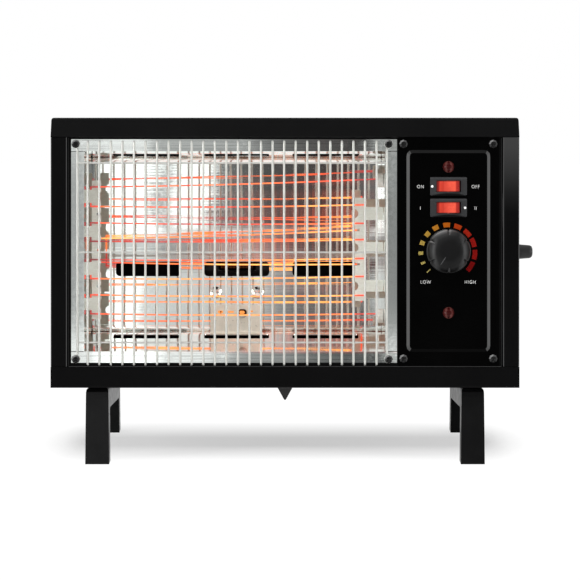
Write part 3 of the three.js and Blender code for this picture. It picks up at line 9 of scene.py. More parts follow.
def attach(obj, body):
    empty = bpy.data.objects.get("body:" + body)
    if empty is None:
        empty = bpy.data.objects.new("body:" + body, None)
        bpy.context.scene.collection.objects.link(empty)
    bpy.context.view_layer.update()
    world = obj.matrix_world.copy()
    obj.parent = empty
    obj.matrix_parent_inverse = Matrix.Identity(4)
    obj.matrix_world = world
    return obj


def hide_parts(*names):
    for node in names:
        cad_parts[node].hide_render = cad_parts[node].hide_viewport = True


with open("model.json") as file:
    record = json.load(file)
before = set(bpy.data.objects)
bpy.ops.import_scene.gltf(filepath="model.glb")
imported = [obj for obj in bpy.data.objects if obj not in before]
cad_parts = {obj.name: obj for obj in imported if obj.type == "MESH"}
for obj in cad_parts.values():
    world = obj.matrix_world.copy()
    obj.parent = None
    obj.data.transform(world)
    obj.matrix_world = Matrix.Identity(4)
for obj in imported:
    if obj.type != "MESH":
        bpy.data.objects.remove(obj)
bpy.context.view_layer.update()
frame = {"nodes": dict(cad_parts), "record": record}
nodes = frame["nodes"]

# Cabinet sheets. Base pan, top cover, side channels and rear panel are pressed 1 mm steel, powder coated
# semi-gloss black. Flanges tuck into one another, held by screws, and the whole leans back on its feet.
# Places are given as steps right, back and up from the middle of its lower front edge.
knob_right = 0.1395
knob_back = 0.0004
knob_up = 0.1167
joints = {joint["name"]: joint for joint in frame["record"]["behaviour"]["joints"]}
right_way = Vector((1, 0, 0))
up_way = Vector(joints["power_rock"]["axis"])
back_way = Vector(joints["thermostat_turn"]["axis"])
cabinet_corner = (Vector(joints["thermostat_turn"]["pos_m"]) - right_way * knob_right
                  - back_way * knob_back - up_way * knob_up)
coat_tint = ((0.35, (0.0016, 0.0016, 0.0017)), (0.75, (0.0026, 0.0026, 0.0027)))
coat_clouds, coat_wear, coat_peel = (14,), (60,), (1500, 2)
coat_roughness = (0.28, 0.33)
coat_relief = 0.06
coat_gloss = 0.06
# Painted highlights: emission on the coat's bends that lean sideways, and on the base pan's edges that face
# up.
coat_painted_highlight = 0.1
coat_tilts = (0.2, 0.4, 0.65, 0.9)
base_painted_top_highlight = 0.12
# Painted light: a glow on the front strip of the right side channel, brighter higher up.
right_strip_painted_glow = ((0.150, 0.0), (0.168, 0.010), (0.186, 0.028), (0.205, 0.045), (0.216, 0.048))
right_strip_facing = (-0.98, -0.9)
sheet_edge = 0.00035
noise_range = (0.3, 0.7)


def cab(right, back, up):
    return cabinet_corner + right_way * right + back_way * back + up_way * up


def opened(finish):
    tree = finish.node_tree
    return tree, tree.nodes["Principled BSDF"], tree.nodes["Texture Coordinate"].outputs["Object"]


def new_finish(name):
    finish = bpy.data.materials.new(name)
    finish.use_nodes = True
    finish.node_tree.nodes.new("ShaderNodeTexCoord")
    return finish, *opened(finish)


def feed(node, values):
    for key, value in values.items():
        if isinstance(value, bpy.types.NodeSocket):
            node.id_data.links.new(value, node.inputs[key])
        else:
            node.inputs[key].default_value = value


def mottle(tree, place, scale, detail=3.0, roughness=0.55):
    grain = tree.nodes.new("ShaderNodeTexNoise")
    feed(grain, {"Scale": scale, "Detail": detail, "Roughness": roughness, "Vector": place})
    return grain.outputs["Fac"]


def ramp(tree, value, *stops):
    scale = tree.nodes.new("ShaderNodeValToRGB")
    band = scale.color_ramp
    while len(band.elements) < len(stops):
        band.elements.new(0.5)
    for element, (at, colour) in zip(band.elements, stops):
        element.position = at
        element.color = (*colour, 1)
    feed(scale, {"Fac": value})
    return scale.outputs["Color"]


def spread(tree, value, low, high, out_low, out_high):
    scale = tree.nodes.new("ShaderNodeMapRange")
    feed(scale, {"Value": value, "From Min": low, "From Max": high, "To Min": out_low, "To Max": out_high})
    return scale.outputs["Result"]


def vary(tree, noise, low, high):
    return spread(tree, noise, *noise_range, low, high)


def relief(tree, shader, height, strength, depth):
    bump = tree.nodes.new("ShaderNodeBump")
    feed(bump, {"Strength": strength, "Distance": depth, "Height": height})
    feed(shader, {"Normal": bump.outputs["Normal"]})


def combine(tree, operation, first, second):
    sum_up = tree.nodes.new("ShaderNodeMath")
    sum_up.operation = operation
    feed(sum_up, {0: first, 1: second})
    return sum_up.outputs[0]


def vector_step(tree, operation, first, second, result="Vector"):
    step = tree.nodes.new("ShaderNodeVectorMath")
    step.operation = operation
    feed(step, {0: first, 1: second})
    return step.outputs[result]


def lean(tree, way):
    normal = tree.nodes.new("ShaderNodeNewGeometry").outputs["Normal"]
    return vector_step(tree, "DOT_PRODUCT", normal, way, "Value")


# Paints highlights: emission on faces whose normal leans towards each given way.
def paint_highlights(finish, *ways):
    tree, shader, _ = opened(finish)
    glow = 0
    for way, stops in ways:
        facing = lean(tree, way)
        if way == right_way:
            facing = combine(tree, "ABSOLUTE", facing, 0)
        lit = ramp(tree, facing, *((at, (level,) * 3) for at, level in stops))
        glow = combine(tree, "MAXIMUM", glow, lit)
    feed(shader, {"Emission Color": glow, "Emission Strength": 1})


def right_and_up(tree, place, start, turn=Matrix.Identity(4)):
    distances = []
    for way in (right_way, up_way):
        local_way = turn.to_3x3() @ way
        measure = vector_step(tree, "DOT_PRODUCT", place, local_way, "Value")
        distances.append(combine(tree, "SUBTRACT", measure, local_way.dot(turn @ start)))
    return distances


# Plain numbers are halved here, so that a ramp can hold up to 2. What uses them doubles them again.
def banded(tree, value, stops):
    low, high = stops[0][0], stops[-1][0]
    return ramp(tree, spread(tree, value, low, high, 0, 1), *(
        ((at - low) / (high - low), colour if isinstance(colour, tuple) else (colour / 2,) * 3)
        for at, colour in stops))


def surface(name, tint, clouds, roughness, wear, bumps, strength, depth=0.0001, gloss=0.5, metallic=0.0):
    finish, tree, shader, place = new_finish(name)
    feed(shader, {"Base Color": ramp(tree, mottle(tree, place, *clouds), *tint),
                  "Roughness": vary(tree, mottle(tree, place, *wear), *roughness),
                  "Specular IOR Level": gloss, "Metallic": metallic})
    relief(tree, shader, mottle(tree, place, *bumps), strength, depth)
    return finish


def powder_coat(name, tint, roughness, strength, gloss, painted_bend_highlight, painted_top_highlight):
    finish = surface(name, tint, coat_clouds, roughness, coat_wear, coat_peel, strength, gloss=gloss)
    paint_highlights(finish, *((way, tuple(zip(coat_tilts, (0, glow, glow, 0))))
                          for way, glow in ((right_way, painted_bend_highlight), (up_way, painted_top_highlight))))
    return finish


def dress(node, finish, edge=0.0, steps=2, angle=32):
    piece = nodes[node]
    piece.data.materials.clear()
    piece.data.materials.append(finish)
    if edge:
        soften = piece.modifiers.new("edges", "BEVEL")
        soften.width = edge
        soften.segments = steps
        soften.limit_method = "ANGLE"
        soften.angle_limit = math.radians(angle)
        soften.harden_normals = True
    for face in piece.data.polygons:
        face.use_smooth = bool(edge)


# Paints a glow on the front-facing faces of a finish, growing with height, as painted light.
def paint_side_glow(finish, heights):
    tree, shader, place = opened(finish)
    up = right_and_up(tree, place, cab(0, 0, 0))[1]
    facing = spread(tree, lean(tree, back_way), *right_strip_facing, 2, 0)
    glow = combine(tree, "MULTIPLY", banded(tree, up, heights), facing)
    edges = shader.inputs["Emission Color"].links[0].from_socket
    feed(shader, {"Emission Color": combine(tree, "MAXIMUM", glow, edges)})


coat, painted_glow_coat, base_coat = (
    powder_coat(name, coat_tint, coat_roughness, coat_relief, coat_gloss, coat_painted_highlight, painted_top_highlight)
    for name, painted_top_highlight in (("black powder coat", 0), ("black powder coat, right", 0),
                            ("black powder coat, base", base_painted_top_highlight)))
paint_side_glow(painted_glow_coat, right_strip_painted_glow)
for sheet in ("top_cover", "side_panel_left", "rear_panel"):
    dress(sheet, coat, sheet_edge)
dress("side_panel_right", painted_glow_coat, sheet_edge)
dress("base_pan", base_coat, sheet_edge)

# Control panel. One pressed sheet, painted gloss black, with a raised field whose bevelled sides carry
# painted highlights, fainter on top. It drops in beside the reflector's frame and four screws hold it.
panel_tint = ((0.35, (0.0004, 0.0004, 0.0004)), (0.75, (0.0008, 0.0008, 0.0008)))
panel_roughness = (0.12, 0.2)
panel_relief = 0.02
panel_gloss = 0.04
# Painted highlights on the field's bevels, and a fainter one on faces turned up.
panel_painted_highlight = 0.09
panel_painted_top_highlight = 0.013
panel_edge = 0.0004
panel_paint = powder_coat("gloss black panel paint", panel_tint, panel_roughness, panel_relief, panel_gloss,
                          panel_painted_highlight, panel_painted_top_highlight)
dress("control_panel", panel_paint, panel_edge, steps=3, angle=20)

# Reflector. Trough and end walls are folded from thin bright anodised aluminium that ripples a little, so
# the ribbons and the room show as broken streaks. Rows of slots let air through. The trough is rebuilt over
# the solid one with round bends, and a painted orange glow, a painted reflection of the ribbons, lies on it.
thin_edge = 0.0002
aluminium_tint = ((0.0, (0.86, 0.90, 0.87)), (1.0, (0.89, 0.93, 0.90)))
mirror_roughness = (0.02, 0.06)
mirror_clouds, mirror_scratches = (30, 4), (320, 4)
scratch_range = (0.35, 0.7)
dent_scale, dent_stretch = 13, (1.0, 1.0, 0.45)
roll_share, roll_stretch = 0.06, (6, 6, 450)
trough_ripple, end_ripple = 0.00042, 0.00003
# Painted reflection: patches of orange glow laid on the trough near the ribbons, in streaks.
painted_glow_patches = (
    (((0.016, 0.0), (0.024, 0.3), (0.030, 0.1), (0.045, 0.08), (0.052, 0.4), (0.058, 0.1), (0.072, 0.4),
      (0.080, 0.12), (0.095, 0.1), (0.105, 0.6), (0.122, 0.6), (0.128, 0.15), (0.136, 0.45), (0.142, 0.1),
      (0.147, 0.4), (0.153, 0.06), (0.172, 0.02)),
     ((-0.17, 0.02), (-0.11, 0.07), (-0.045, 0.3), (0.0, 0.42), (0.03, 0.9), (0.055, 1.0), (0.0755, 0.35))),
    (((0.070, 0.0), (0.076, 0.5), (0.084, 0.55), (0.095, 0.45), (0.102, 0.0)),
     ((-0.12, 0.0), (-0.075, 0.3), (-0.045, 0.9), (0.0, 1.0), (0.012, 0.5), (0.03, 0.1))),
    (((-0.002, 0.0), (0.0, 0.45), (0.0135, 0.45), (0.016, 0.0)),
     ((-0.16, 0.1), (-0.09, 0.25), (-0.055, 0.8), (0.05, 1.0), (0.0755, 0.4))),
)
painted_glow_tint = (0.34, 0.045, 0.018, 1)
painted_glow_streaks, streak_range, streak_gain = (420, 6, 6), (0.35, 0.65), (0.4, 1.6)
trough_left, trough_right = -0.1715, 0.0855
trough_low, trough_high = 0.0306, 0.2024
trough_front, trough_deep, trough_crown = 0.0034, 0.102, 0.107
trough_top_fall, trough_bottom_rise = 0.003, 0.0145
corner_bend, crown_bend = 0.005, 0.03
trough_overlap = 0.001
reflector_sheet, reflector_crease = 0.0008, 25
bend_steps = 14
trough_centre = (trough_left + trough_right) / 2
slot_columns = [trough_centre + step * 0.0785 for step in (-1, 0, 1)]
slot_length, slot_corner = 0.058, 0.0035
back_slot, back_cut = (0.0935, 0.1065), (0.094, 0.115)
top_slot, top_cut = (0.0428, 0.0836), (0.196, 0.208)
bottom_slot, bottom_cut = (0.0627, 0.0836), (0.0315, 0.046)
stud_places = [(trough_centre + side * 0.0187, 0.079) for side in (-1, 1)]
stud_hole = 0.0024
hole_roundness = 0.99
flange_left, flange_right = -0.1826, 0.0956
flange_heights = ((0.0214, 0.0308), (0.2022, 0.2122))
flange_depths = (0.003, 0.0038)


def stretched(tree, place, scale):
    stretch = tree.nodes.new("ShaderNodeMapping")
    feed(stretch, {"Scale": scale, "Vector": place})
    return stretch.outputs["Vector"]


def mirror_metal(name, ripple):
    finish, tree, shader, place = new_finish(name)
    scratches = mottle(tree, place, *mirror_scratches)
    clouds = mottle(tree, place, *mirror_clouds)
    feed(shader, {"Metallic": 1, "Base Color": ramp(tree, clouds, *aluminium_tint),
                  "Roughness": spread(tree, scratches, *scratch_range, *mirror_roughness)})
    dents = mottle(tree, stretched(tree, place, dent_stretch), dent_scale, 0)
    rolling = mottle(tree, stretched(tree, place, roll_stretch), 1, 1)
    rolling = combine(tree, "MULTIPLY", rolling, roll_share)
    relief(tree, shader, combine(tree, "ADD", dents, rolling), 1.0, ripple)
    return finish


# Paints the ribbons' orange glow onto the trough as emission.
def paint_ribbon_glow(finish):
    tree, shader, place = opened(finish)
    right, up = right_and_up(tree, place, cab(0, 0, trough_low))
    glow = 0
    for heights, across in painted_glow_patches:
        patch = combine(tree, "MULTIPLY", banded(tree, up, heights), banded(tree, right, across))
        glow = combine(tree, "ADD", glow, patch)
    streaks = mottle(tree, stretched(tree, place, painted_glow_streaks), 1, 2)
    streaks = spread(tree, streaks, *streak_range, *streak_gain)
    glow = combine(tree, "MULTIPLY", glow, combine(tree, "MULTIPLY", streaks, 4))
    feed(shader, {"Emission Strength": glow, "Emission Color": painted_glow_tint})


def placed(name, data):
    thing = bpy.data.objects.new(name, data)
    bpy.context.scene.collection.objects.link(thing)
    return thing


def new_piece(name, points, faces, finish, smooth=True):
    mesh = bpy.data.meshes.new(name)
    mesh.from_pydata([tuple(point) for point in points], [], faces)
    mesh.validate()
    mesh.materials.append(finish)
    for face in mesh.polygons:
        face.use_smooth = smooth
    return placed(name, mesh)


def apply_modifiers(piece):
    bpy.context.view_layer.update()
    ready = piece.evaluated_get(bpy.context.evaluated_depsgraph_get())
    mesh = bpy.data.meshes.new_from_object(ready)
    piece.modifiers.clear()
    piece.data = mesh


def smooth_by_angle(piece, angle):
    for face in piece.data.polygons:
        face.use_smooth = True
    piece.data.set_sharp_from_angle(angle=math.radians(angle))


def outward(piece, weld=0):
    shape = bmesh.new()
    shape.from_mesh(piece.data)
    if weld:
        bmesh.ops.remove_doubles(shape, verts=shape.verts, dist=weld)
    bmesh.ops.recalc_face_normals(shape, faces=shape.faces)
    shape.to_mesh(piece.data)
    shape.free()


def bent_line(corners, bends, steps):
    line = []
    for i, corner in enumerate(corners):
        here = Vector(corner)
        if not bends[i]:
            line.append(here)
            continue
        start = here + (Vector(corners[i - 1]) - here).normalized() * bends[i]
        end = here + (Vector(corners[i + 1]) - here).normalized() * bends[i]
        for step in range(steps + 1):
            share = step / steps
            line.append(start * (1 - share) ** 2 + here * (2 * share * (1 - share)) + end * share ** 2)
    return line


def thick_line(line, thickness):
    sides = []
    for sign in (1, -1):
        for i, point in enumerate(line):
            before = line[max(i - 1, 0)]
            after = line[min(i + 1, len(line) - 1)]
            run = (after - before).normalized()
            sides.append(point + Vector((-run.y, run.x)) * (sign * thickness / 2))
    half = len(line)
    return sides[:half] + sides[half:][::-1]


def web(rows, lanes, closed=True):
    faces = []
    for row in range(rows - 1):
        near, far = row * lanes, (row + 1) * lanes
        for lane in range(lanes if closed else lanes - 1):
            ahead = (lane + 1) % lanes
            faces.append((near + lane, near + ahead, far + ahead, far + lane))
    return faces


def from_front(back, right, up):
    return cab(right, back, up)


def from_below(up, right, back):
    return cab(right, back, up)


def bar_along(name, outline, low, high, at, finish):
    count = len(outline)
    points = [at(end, u, v) for end in (low, high) for u, v in outline]
    faces = web(2, count) + [tuple(range(count))[::-1], tuple(range(count, 2 * count))]
    piece = new_piece(name, points, faces, finish)
    outward(piece)
    return piece


def rounded_outline(low, high, radius, steps=5):
    left, right = low[0] + radius, high[0] - radius
    bottom, top = low[1] + radius, high[1] - radius
    outline = []
    for quarter, (x, y) in enumerate(((right, top), (left, top), (left, bottom), (right, bottom))):
        for step in range(steps + 1):
            angle = math.pi / 2 * (quarter + step / steps)
            outline.append((x + radius * math.cos(angle), y + radius * math.sin(angle)))
    return outline


def cut_out(piece, cutters):
    for cutter in cutters:
        cut = piece.modifiers.new("cut", "BOOLEAN")
        cut.operation = "DIFFERENCE"
        cut.solver = "EXACT"
        cut.object = cutter
    apply_modifiers(piece)
    for cutter in cutters:
        bpy.data.objects.remove(cutter)


def join_pieces(piece, others, angle):
    shape = bmesh.new()
    for part in [piece] + others:
        shape.from_mesh(part.data)
    shape.to_mesh(piece.data)
    shape.free()
    for part in others:
        bpy.data.objects.remove(part)
    smooth_by_angle(piece, angle)
    return piece


def build_trough(finish):
    back_middle = (trough_high - trough_top_fall + trough_low + trough_bottom_rise) / 2
    corners = [(trough_front, trough_high), (trough_deep, trough_high - trough_top_fall),
               (trough_crown, back_middle), (trough_deep, trough_low + trough_bottom_rise),
               (trough_front, trough_low)]
    line = bent_line(corners, [0, corner_bend, crown_bend, corner_bend, 0], bend_steps)
    trough = bar_along("reflector_trough", thick_line(line, reflector_sheet), trough_left - trough_overlap,
                       trough_right + trough_overlap, cab, finish)
    cutters = []
    for x in slot_columns:
        for (near, far), cut, at in ((back_slot, back_cut, from_front), (top_slot, top_cut, from_below),
                                     (bottom_slot, bottom_cut, from_below)):
            slot = rounded_outline((x - slot_length / 2, near), (x + slot_length / 2, far), slot_corner)
            cutters.append(bar_along("slot", slot, *cut, at, finish))
    for x, z in stud_places:
        hole = rounded_outline((x - stud_hole, z - stud_hole), (x + stud_hole, z + stud_hole),
                               stud_hole * hole_roundness)
        cutters.append(bar_along("slot", hole, *back_cut, from_front, finish))
    cut_out(trough, cutters)
    front, back = flange_depths
    flanges = [bar_along("flange", [(front, low), (back, low), (back, high), (front, high)], flange_left,
                         flange_right, cab, finish) for low, high in flange_heights]
    return join_pieces(trough, flanges, reflector_crease)


bright_sheet = mirror_metal("bright aluminium sheet", trough_ripple)
paint_ribbon_glow(bright_sheet)
trough = build_trough(bright_sheet)
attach(trough, "cabinet")
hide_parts("reflector")
end_sheet = mirror_metal("end wall aluminium", end_ripple)
for wall in ("reflector_end_left", "reflector_end_right"):
    dress(wall, end_sheet, thin_edge)

# Grille. Upright spring wires, bright chrome plated, are spot welded to three cross wires. Their
# top ends turn back onto the reflector's flange, their bottom ends hook under it, and the outer two
# end in eyes for screws.
wire_count = 26
wire_pitch = 0.00986
outer_pitch = 0.0088
wire_radius, cross_radius = 0.00095, 0.0008
grille_middle = -0.0451
wire_depth, cross_depth, eye_depth = 0.0004, 0.0019, 0.00175
wire_top, wire_bottom = 0.21035, 0.0197
wire_bend = 0.002
hook_back = {"top": 0.0027, "bottom": 0.0038}
cross_heights = (0.1919, 0.1157, 0.0387)
eye_heights = (0.2082, 0.0246)
eye_places = (-0.1786, 0.0884)
eye_radius = 0.00275
eye_drop = 0.009
chrome_tint = ((0.0, (0.54, 0.545, 0.515)), (1.0, (0.60, 0.605, 0.57)))
chrome_roughness = (0.36, 0.44)
chrome_metal = 0.6
chrome_ripple = 0.000002
eye_steps, wire_crease = 24, 50
plating_clouds, plating_wear = (120, 5, 0.65), (260,)
plating_grain, plating_relief = (400, 3), 0.4


def plated_steel(name, tint, roughness, ripple=0.0001, metallic=1.0):
    return surface(name, tint, plating_clouds, roughness, plating_wear, plating_grain, plating_relief, ripple,
                   metallic=metallic)


def new_wire(curve, points, closed=False):
    run = curve.splines.new("POLY")
    run.points.add(len(points) - 1)
    for spot, point in zip(run.points, points):
        spot.co = (*point, 1)
    run.use_cyclic_u = closed


def quarter_bend(x, up, end, towards, steps=5):
    bend = []
    for step in range(steps + 1):
        angle = math.pi / 2 * step / steps
        bend.append(cab(x, wire_depth + wire_bend * (1 - math.cos(angle)),
                        up + towards * wire_bend * (1 - math.sin(angle))))
    return bend + [cab(x, end, up)]


def ring_points(right, back, up, radius, steps, turn=0):
    angles = [turn + 2 * math.pi * step / steps for step in range(steps)]
    return [cab(right + radius * math.cos(angle), back, up + radius * math.sin(angle)) for angle in angles]


def build_grille(finish):
    curve = bpy.data.curves.new("grille_wires", "CURVE")
    curve.dimensions = "3D"
    curve.bevel_depth = wire_radius
    curve.bevel_resolution = 3
    curve.use_fill_caps = True
    span = (wire_count - 1) * wire_pitch
    for i in range(wire_count):
        x = grille_middle - span / 2 + i * wire_pitch
        top = quarter_bend(x, wire_top, hook_back["top"], -1)
        bottom = quarter_bend(x, wire_bottom, hook_back["bottom"], 1)
        new_wire(curve, top[::-1] + bottom)
    for side, eye_x in zip((-1, 1), eye_places):
        x = grille_middle + side * (span / 2 + outer_pitch)
        high, low = eye_heights
        new_wire(curve, [cab(eye_x, eye_depth, high - eye_radius), cab(x, eye_depth, high - eye_drop / 2),
                         cab(x, wire_depth, high - eye_drop), cab(x, wire_depth, low + eye_drop),
                         cab(x, eye_depth, low + eye_drop / 2), cab(eye_x, eye_depth, low + eye_radius)])
        for up in eye_heights:
            new_wire(curve, ring_points(eye_x, eye_depth, up, eye_radius, eye_steps), closed=True)
    reach = span / 2 + outer_pitch + wire_radius
    for up in cross_heights:
        new_wire(curve, [cab(grille_middle + side * reach, cross_depth, up) for side in (-1, 1)])
        for spot in curve.splines[-1].points:
            spot.radius = cross_radius / wire_radius
    drawn = placed("grille_wires", curve)
    mesh = bpy.data.meshes.new_from_object(drawn)
    bpy.data.objects.remove(drawn)
    mesh.materials.clear()
    mesh.materials.append(finish)
    piece = placed("grille_wires", mesh)
    smooth_by_angle(piece, wire_crease)
    return piece


chrome = plated_steel("chrome plated wire", chrome_tint, chrome_roughness, chrome_ripple, chrome_metal)
grille = build_grille(chrome)
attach(grille, "cabinet")
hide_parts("grille")

# Joint strips. A folded lip of black painted steel, spot welded behind each side edge of the front,
# closes the joint towards the side channel, so that nobody can look into the cabinet. The solids
# have a slit there instead.
strip_sides = {"left": -1, "right": 1}
strip_fold = ((0.1818, 0.0042), (0.1853, 0.0042), (0.1853, 0.0028))
strip_span = (0.0186, 0.2134)
strip_sheet, strip_bend = 0.0007, 0.0006
strip_steps, strip_crease = 4, 30
for side, sign in strip_sides.items():
    fold = bent_line([(sign * x, y) for x, y in strip_fold], [0, strip_bend, 0], strip_steps)
    strip = bar_along(f"joint_strip_{side}", thick_line(fold, strip_sheet), *strip_span, from_below, coat)
    smooth_by_angle(strip, strip_crease)
    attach(strip, "cabinet")

# Element. Two combs sawn from mica board stand on the trough's ends; a nickel-chrome ribbon snakes
# between them over eight strands and a shorter one hides behind. Switched on, the strands glow from
# yellow to dull red, and cool to dark metal where they fold over the board.
small_edge, fine_edge = 0.0003, 0.0001
mica_flakes, mica_stretch = (260, 6, 0.7), (1, 1, 4)
mica_roughness = (0.35, 0.6)
mica_relief, mica_depth = 0.25, 0.0002
mica_cream = ((0.25, (0.74, 0.74, 0.66)), (0.6, (0.86, 0.88, 0.80)), (0.85, (0.92, 0.93, 0.86)))
heat_colours = ((0.0, (0.10, 0.04, 0.06)), (0.2, (0.60, 0.05, 0.05)), (0.4, (1.0, 0.10, 0.04)),
                (0.7, (1.0, 0.21, 0.05)), (1.0, (1.0, 0.42, 0.10)))
heat_strength = (0.8, 1.9)
strand_floors = (0.0, 0.230, 0.320, 0.412, 0.508, 0.600, 0.690, 0.780)
strand_heat = ((0.45, 0.80, 0.70), (0.60, 0.85, 0.90), (0.70, 0.85, 0.95), (0.20, 0.65, 1.00),
               (0.10, 0.45, 0.90), (0.40, 0.20, 0.85), (0.55, 0.35, 1.00), (0.40, 0.60, 0.45))
boost_floors = (0.0, 0.5)
boost_heat = ((0.30, 0.95, 1.00), (0.95, 0.60, 0.95))
left_cooling, left_level = (-0.166, -0.158), 0.45
right_cooling, right_level = (0.058, 0.063), 0.4
heat_clouds, heat_patches = (45, 3, 0.6), 0.16
ribbon_wear, ribbon_grain = (500,), (900, 2)
ribbon_roughness = (0.4, 0.6)
ribbon_metal = 0.8
ribbon_relief, ribbon_depth = 0.3, 0.0002
cold_metal = (0.12, 0.07, 0.06, 1)
ceramic_white = ((0.3, (0.74, 0.72, 0.66)), (0.8, (0.86, 0.85, 0.80)))
ceramic_roughness = (0.45, 0.65)
ceramic_clouds, ceramic_grain = (180, 4), (900, 3)
ceramic_relief, ceramic_depth = 0.2, 0.0002


def mica_board(name):
    finish, tree, shader, place = new_finish(name)
    flakes = mottle(tree, stretched(tree, place, mica_stretch), *mica_flakes)
    feed(shader, {"Base Color": ramp(tree, flakes, *mica_cream),
                  "Roughness": vary(tree, flakes, *mica_roughness)})
    relief(tree, shader, flakes, mica_relief, mica_depth)
    return finish


def mixed(tree, share, first, second):
    blend = tree.nodes.new("ShaderNodeMix")
    feed(blend, {"Factor": share, "A": first, "B": second})
    return blend.outputs["Result"]


def hot_ribbon(name, node, floors, heat):
    finish, tree, shader, place = new_finish(name)
    right, up = right_and_up(tree, place, cab(0, 0, trough_low), nodes[node].matrix_world.inverted())
    rows = ramp(tree, spread(tree, up, 0, trough_high - trough_low, 0, 1), *zip(floors, heat))
    rows.node.color_ramp.interpolation = "CONSTANT"
    lanes = tree.nodes.new("ShaderNodeSeparateColor")
    feed(lanes, {0: rows})
    left, middle, right_end = lanes.outputs[:3]
    near = mixed(tree, spread(tree, right, trough_left, trough_centre, 0, 1), left, middle)
    level = mixed(tree, spread(tree, right, trough_centre, right_cooling[0], 0, 1), near, right_end)
    patches = vary(tree, mottle(tree, place, *heat_clouds), -heat_patches, heat_patches)
    ends = combine(tree, "MULTIPLY", spread(tree, right, *left_cooling, left_level, 1),
                   spread(tree, right, *right_cooling, 1, right_level))
    level = combine(tree, "MULTIPLY", combine(tree, "ADD", level, patches), ends)
    feed(shader, {"Emission Color": ramp(tree, level, *heat_colours),
                  "Emission Strength": spread(tree, level, 0, 1, *heat_strength),
                  "Base Color": cold_metal, "Metallic": ribbon_metal,
                  "Roughness": vary(tree, mottle(tree, place, *ribbon_wear), *ribbon_roughness)})
    relief(tree, shader, mottle(tree, place, *ribbon_grain), ribbon_relief, ribbon_depth)
    return finish


mica = mica_board("mica board")
ceramic = surface("steatite ceramic", ceramic_white, ceramic_clouds, ceramic_roughness, ceramic_clouds,
                  ceramic_grain, ceramic_relief, ceramic_depth)
for board in ("insulator_left", "insulator_right"):
    dress(board, mica, fine_edge)
dress("ribbon_main", hot_ribbon("glowing ribbon", "ribbon_main", strand_floors, strand_heat))
dress("ribbon_boost", hot_ribbon("glowing rear ribbon", "ribbon_boost", boost_floors, boost_heat))
for bush in ("terminal_bush_upper", "terminal_bush_lower"):
    dress(bush, ceramic, small_edge)

# Safety cut-out. A small bimetal can is riveted to a bent aluminium plate that stands in the
# trough. The plate is dull from the heat and carries a painted warm light. Rivet ends on both carry
# painted glints of the ribbon's glow, and dark discs put painted shade in a hole and round the can's rim.
plate_tint = ((0.3, (0.78, 0.77, 0.70)), (0.55, (0.88, 0.86, 0.78)), (0.75, (0.92, 0.88, 0.80)))
plate_roughness = (0.25, 0.5)
plate_ripple = 0.0003
plate_metal = 0.35
# Painted light: an even warm glow on the plate; painted glints and painted shade on the eyelets below.
plate_painted_light = (0.09, 0.095, 0.072, 1)
painted_shade_disc_tint = ((0.3, (0.03, 0.010, 0.006)), (0.7, (0.10, 0.035, 0.016)))
eyelet_painted_glint_tint = ((0.3, (0.80, 0.42, 0.10)), (0.7, (0.95, 0.55, 0.18)))
eyelet_painted_glint = (0.62, 0.15, 0.035, 1)
on_plate, on_can = (0.0894, 0.0898), (0.0841, 0.0845)
eyelets = (((-0.0595, 0.0610), (-0.0548, 0.0634), on_plate, True),
           ((-0.0576, 0.0615), (-0.0560, 0.0629), on_plate, False),
           ((-0.0506, 0.0614), (-0.0452, 0.0630), on_plate, True),
           ((-0.0414, 0.0594), (-0.0338, 0.0648), on_can, False),
           ((-0.0402, 0.0606), (-0.0356, 0.0634), on_can, True),
           ((-0.0312, 0.0620), (-0.0283, 0.0634), on_plate, True))
eyelet_step = 0.00005
eyelet_roundness, eyelet_steps, eyelet_crease = 0.49, 8, 40
zinc_tint = ((0.2, (0.48, 0.48, 0.46)), (0.8, (0.66, 0.66, 0.63)))
zinc_roughness = (0.25, 0.42)


# Paints an even glow onto a finish.
def paint_steady_glow(finish, tint):
    shader = opened(finish)[1]
    feed(shader, {"Emission Color": tint, "Emission Strength": 1})


zinc = plated_steel("zinc plated steel", zinc_tint, zinc_roughness)
plate_with_painted_light = plated_steel("heat dulled aluminium", plate_tint, plate_roughness, plate_ripple, plate_metal)
paint_steady_glow(plate_with_painted_light, plate_painted_light)
dress("cutout_plate", plate_with_painted_light, fine_edge)
dress("thermal_cutout", zinc, thin_edge)
painted_shade_disc = plated_steel("steel discs of painted shade", painted_shade_disc_tint, plate_roughness)
glint_eyelet_finish = plated_steel("eyelet with a painted glint of the ribbon", eyelet_painted_glint_tint, plate_roughness)
paint_steady_glow(glint_eyelet_finish, eyelet_painted_glint)
for number, (low, high, (front, back), glinting) in enumerate(eyelets, 1):
    ring = rounded_outline(low, high, (high[1] - low[1]) * eyelet_roundness, eyelet_steps)
    eyelet = bar_along(f"cutout_eyelet_{number}", ring, front - eyelet_step * number, back, from_front,
                       glint_eyelet_finish if glinting else painted_shade_disc)
    smooth_by_angle(eyelet, eyelet_crease)
    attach(eyelet, "cabinet")

# Fan and motor. A shaded-pole motor of stacked steel laminations with one copper winding hangs on
# two domed studs and spins a moulded black wheel close to the rear inlet.
lamination_pitch, lamination_roughness = 900, (0.35, 0.5)
# The laminations are coloured near black as painted shade inside the cabinet.
lamination_painted_shade_tint = ((0.4, (0.012, 0.012, 0.012)), (0.6, (0.03, 0.03, 0.03)))
copper_tint = ((0.35, (0.03, 0.010, 0.004)), (0.65, (0.07, 0.022, 0.008)))
winding_pitch, winding_roughness = 700, (0.25, 0.4)
winding_edge = 0.0006
ridge_wander, ridge_wear = 0.4, 200
ridge_relief, ridge_depth = 0.6, 0.0002
stud_tint = ((0.3, (0.82, 0.80, 0.78)), (0.7, (0.92, 0.90, 0.88)))
stud_roughness, stud_ripple = (0.06, 0.14), 0.00002
plastic_black = ((0.3, (0.010, 0.010, 0.0105)), (0.7, (0.017, 0.017, 0.018)))
plastic_roughness = (0.38, 0.55)
plastic_clouds, plastic_wear = (40, 4), (150,)


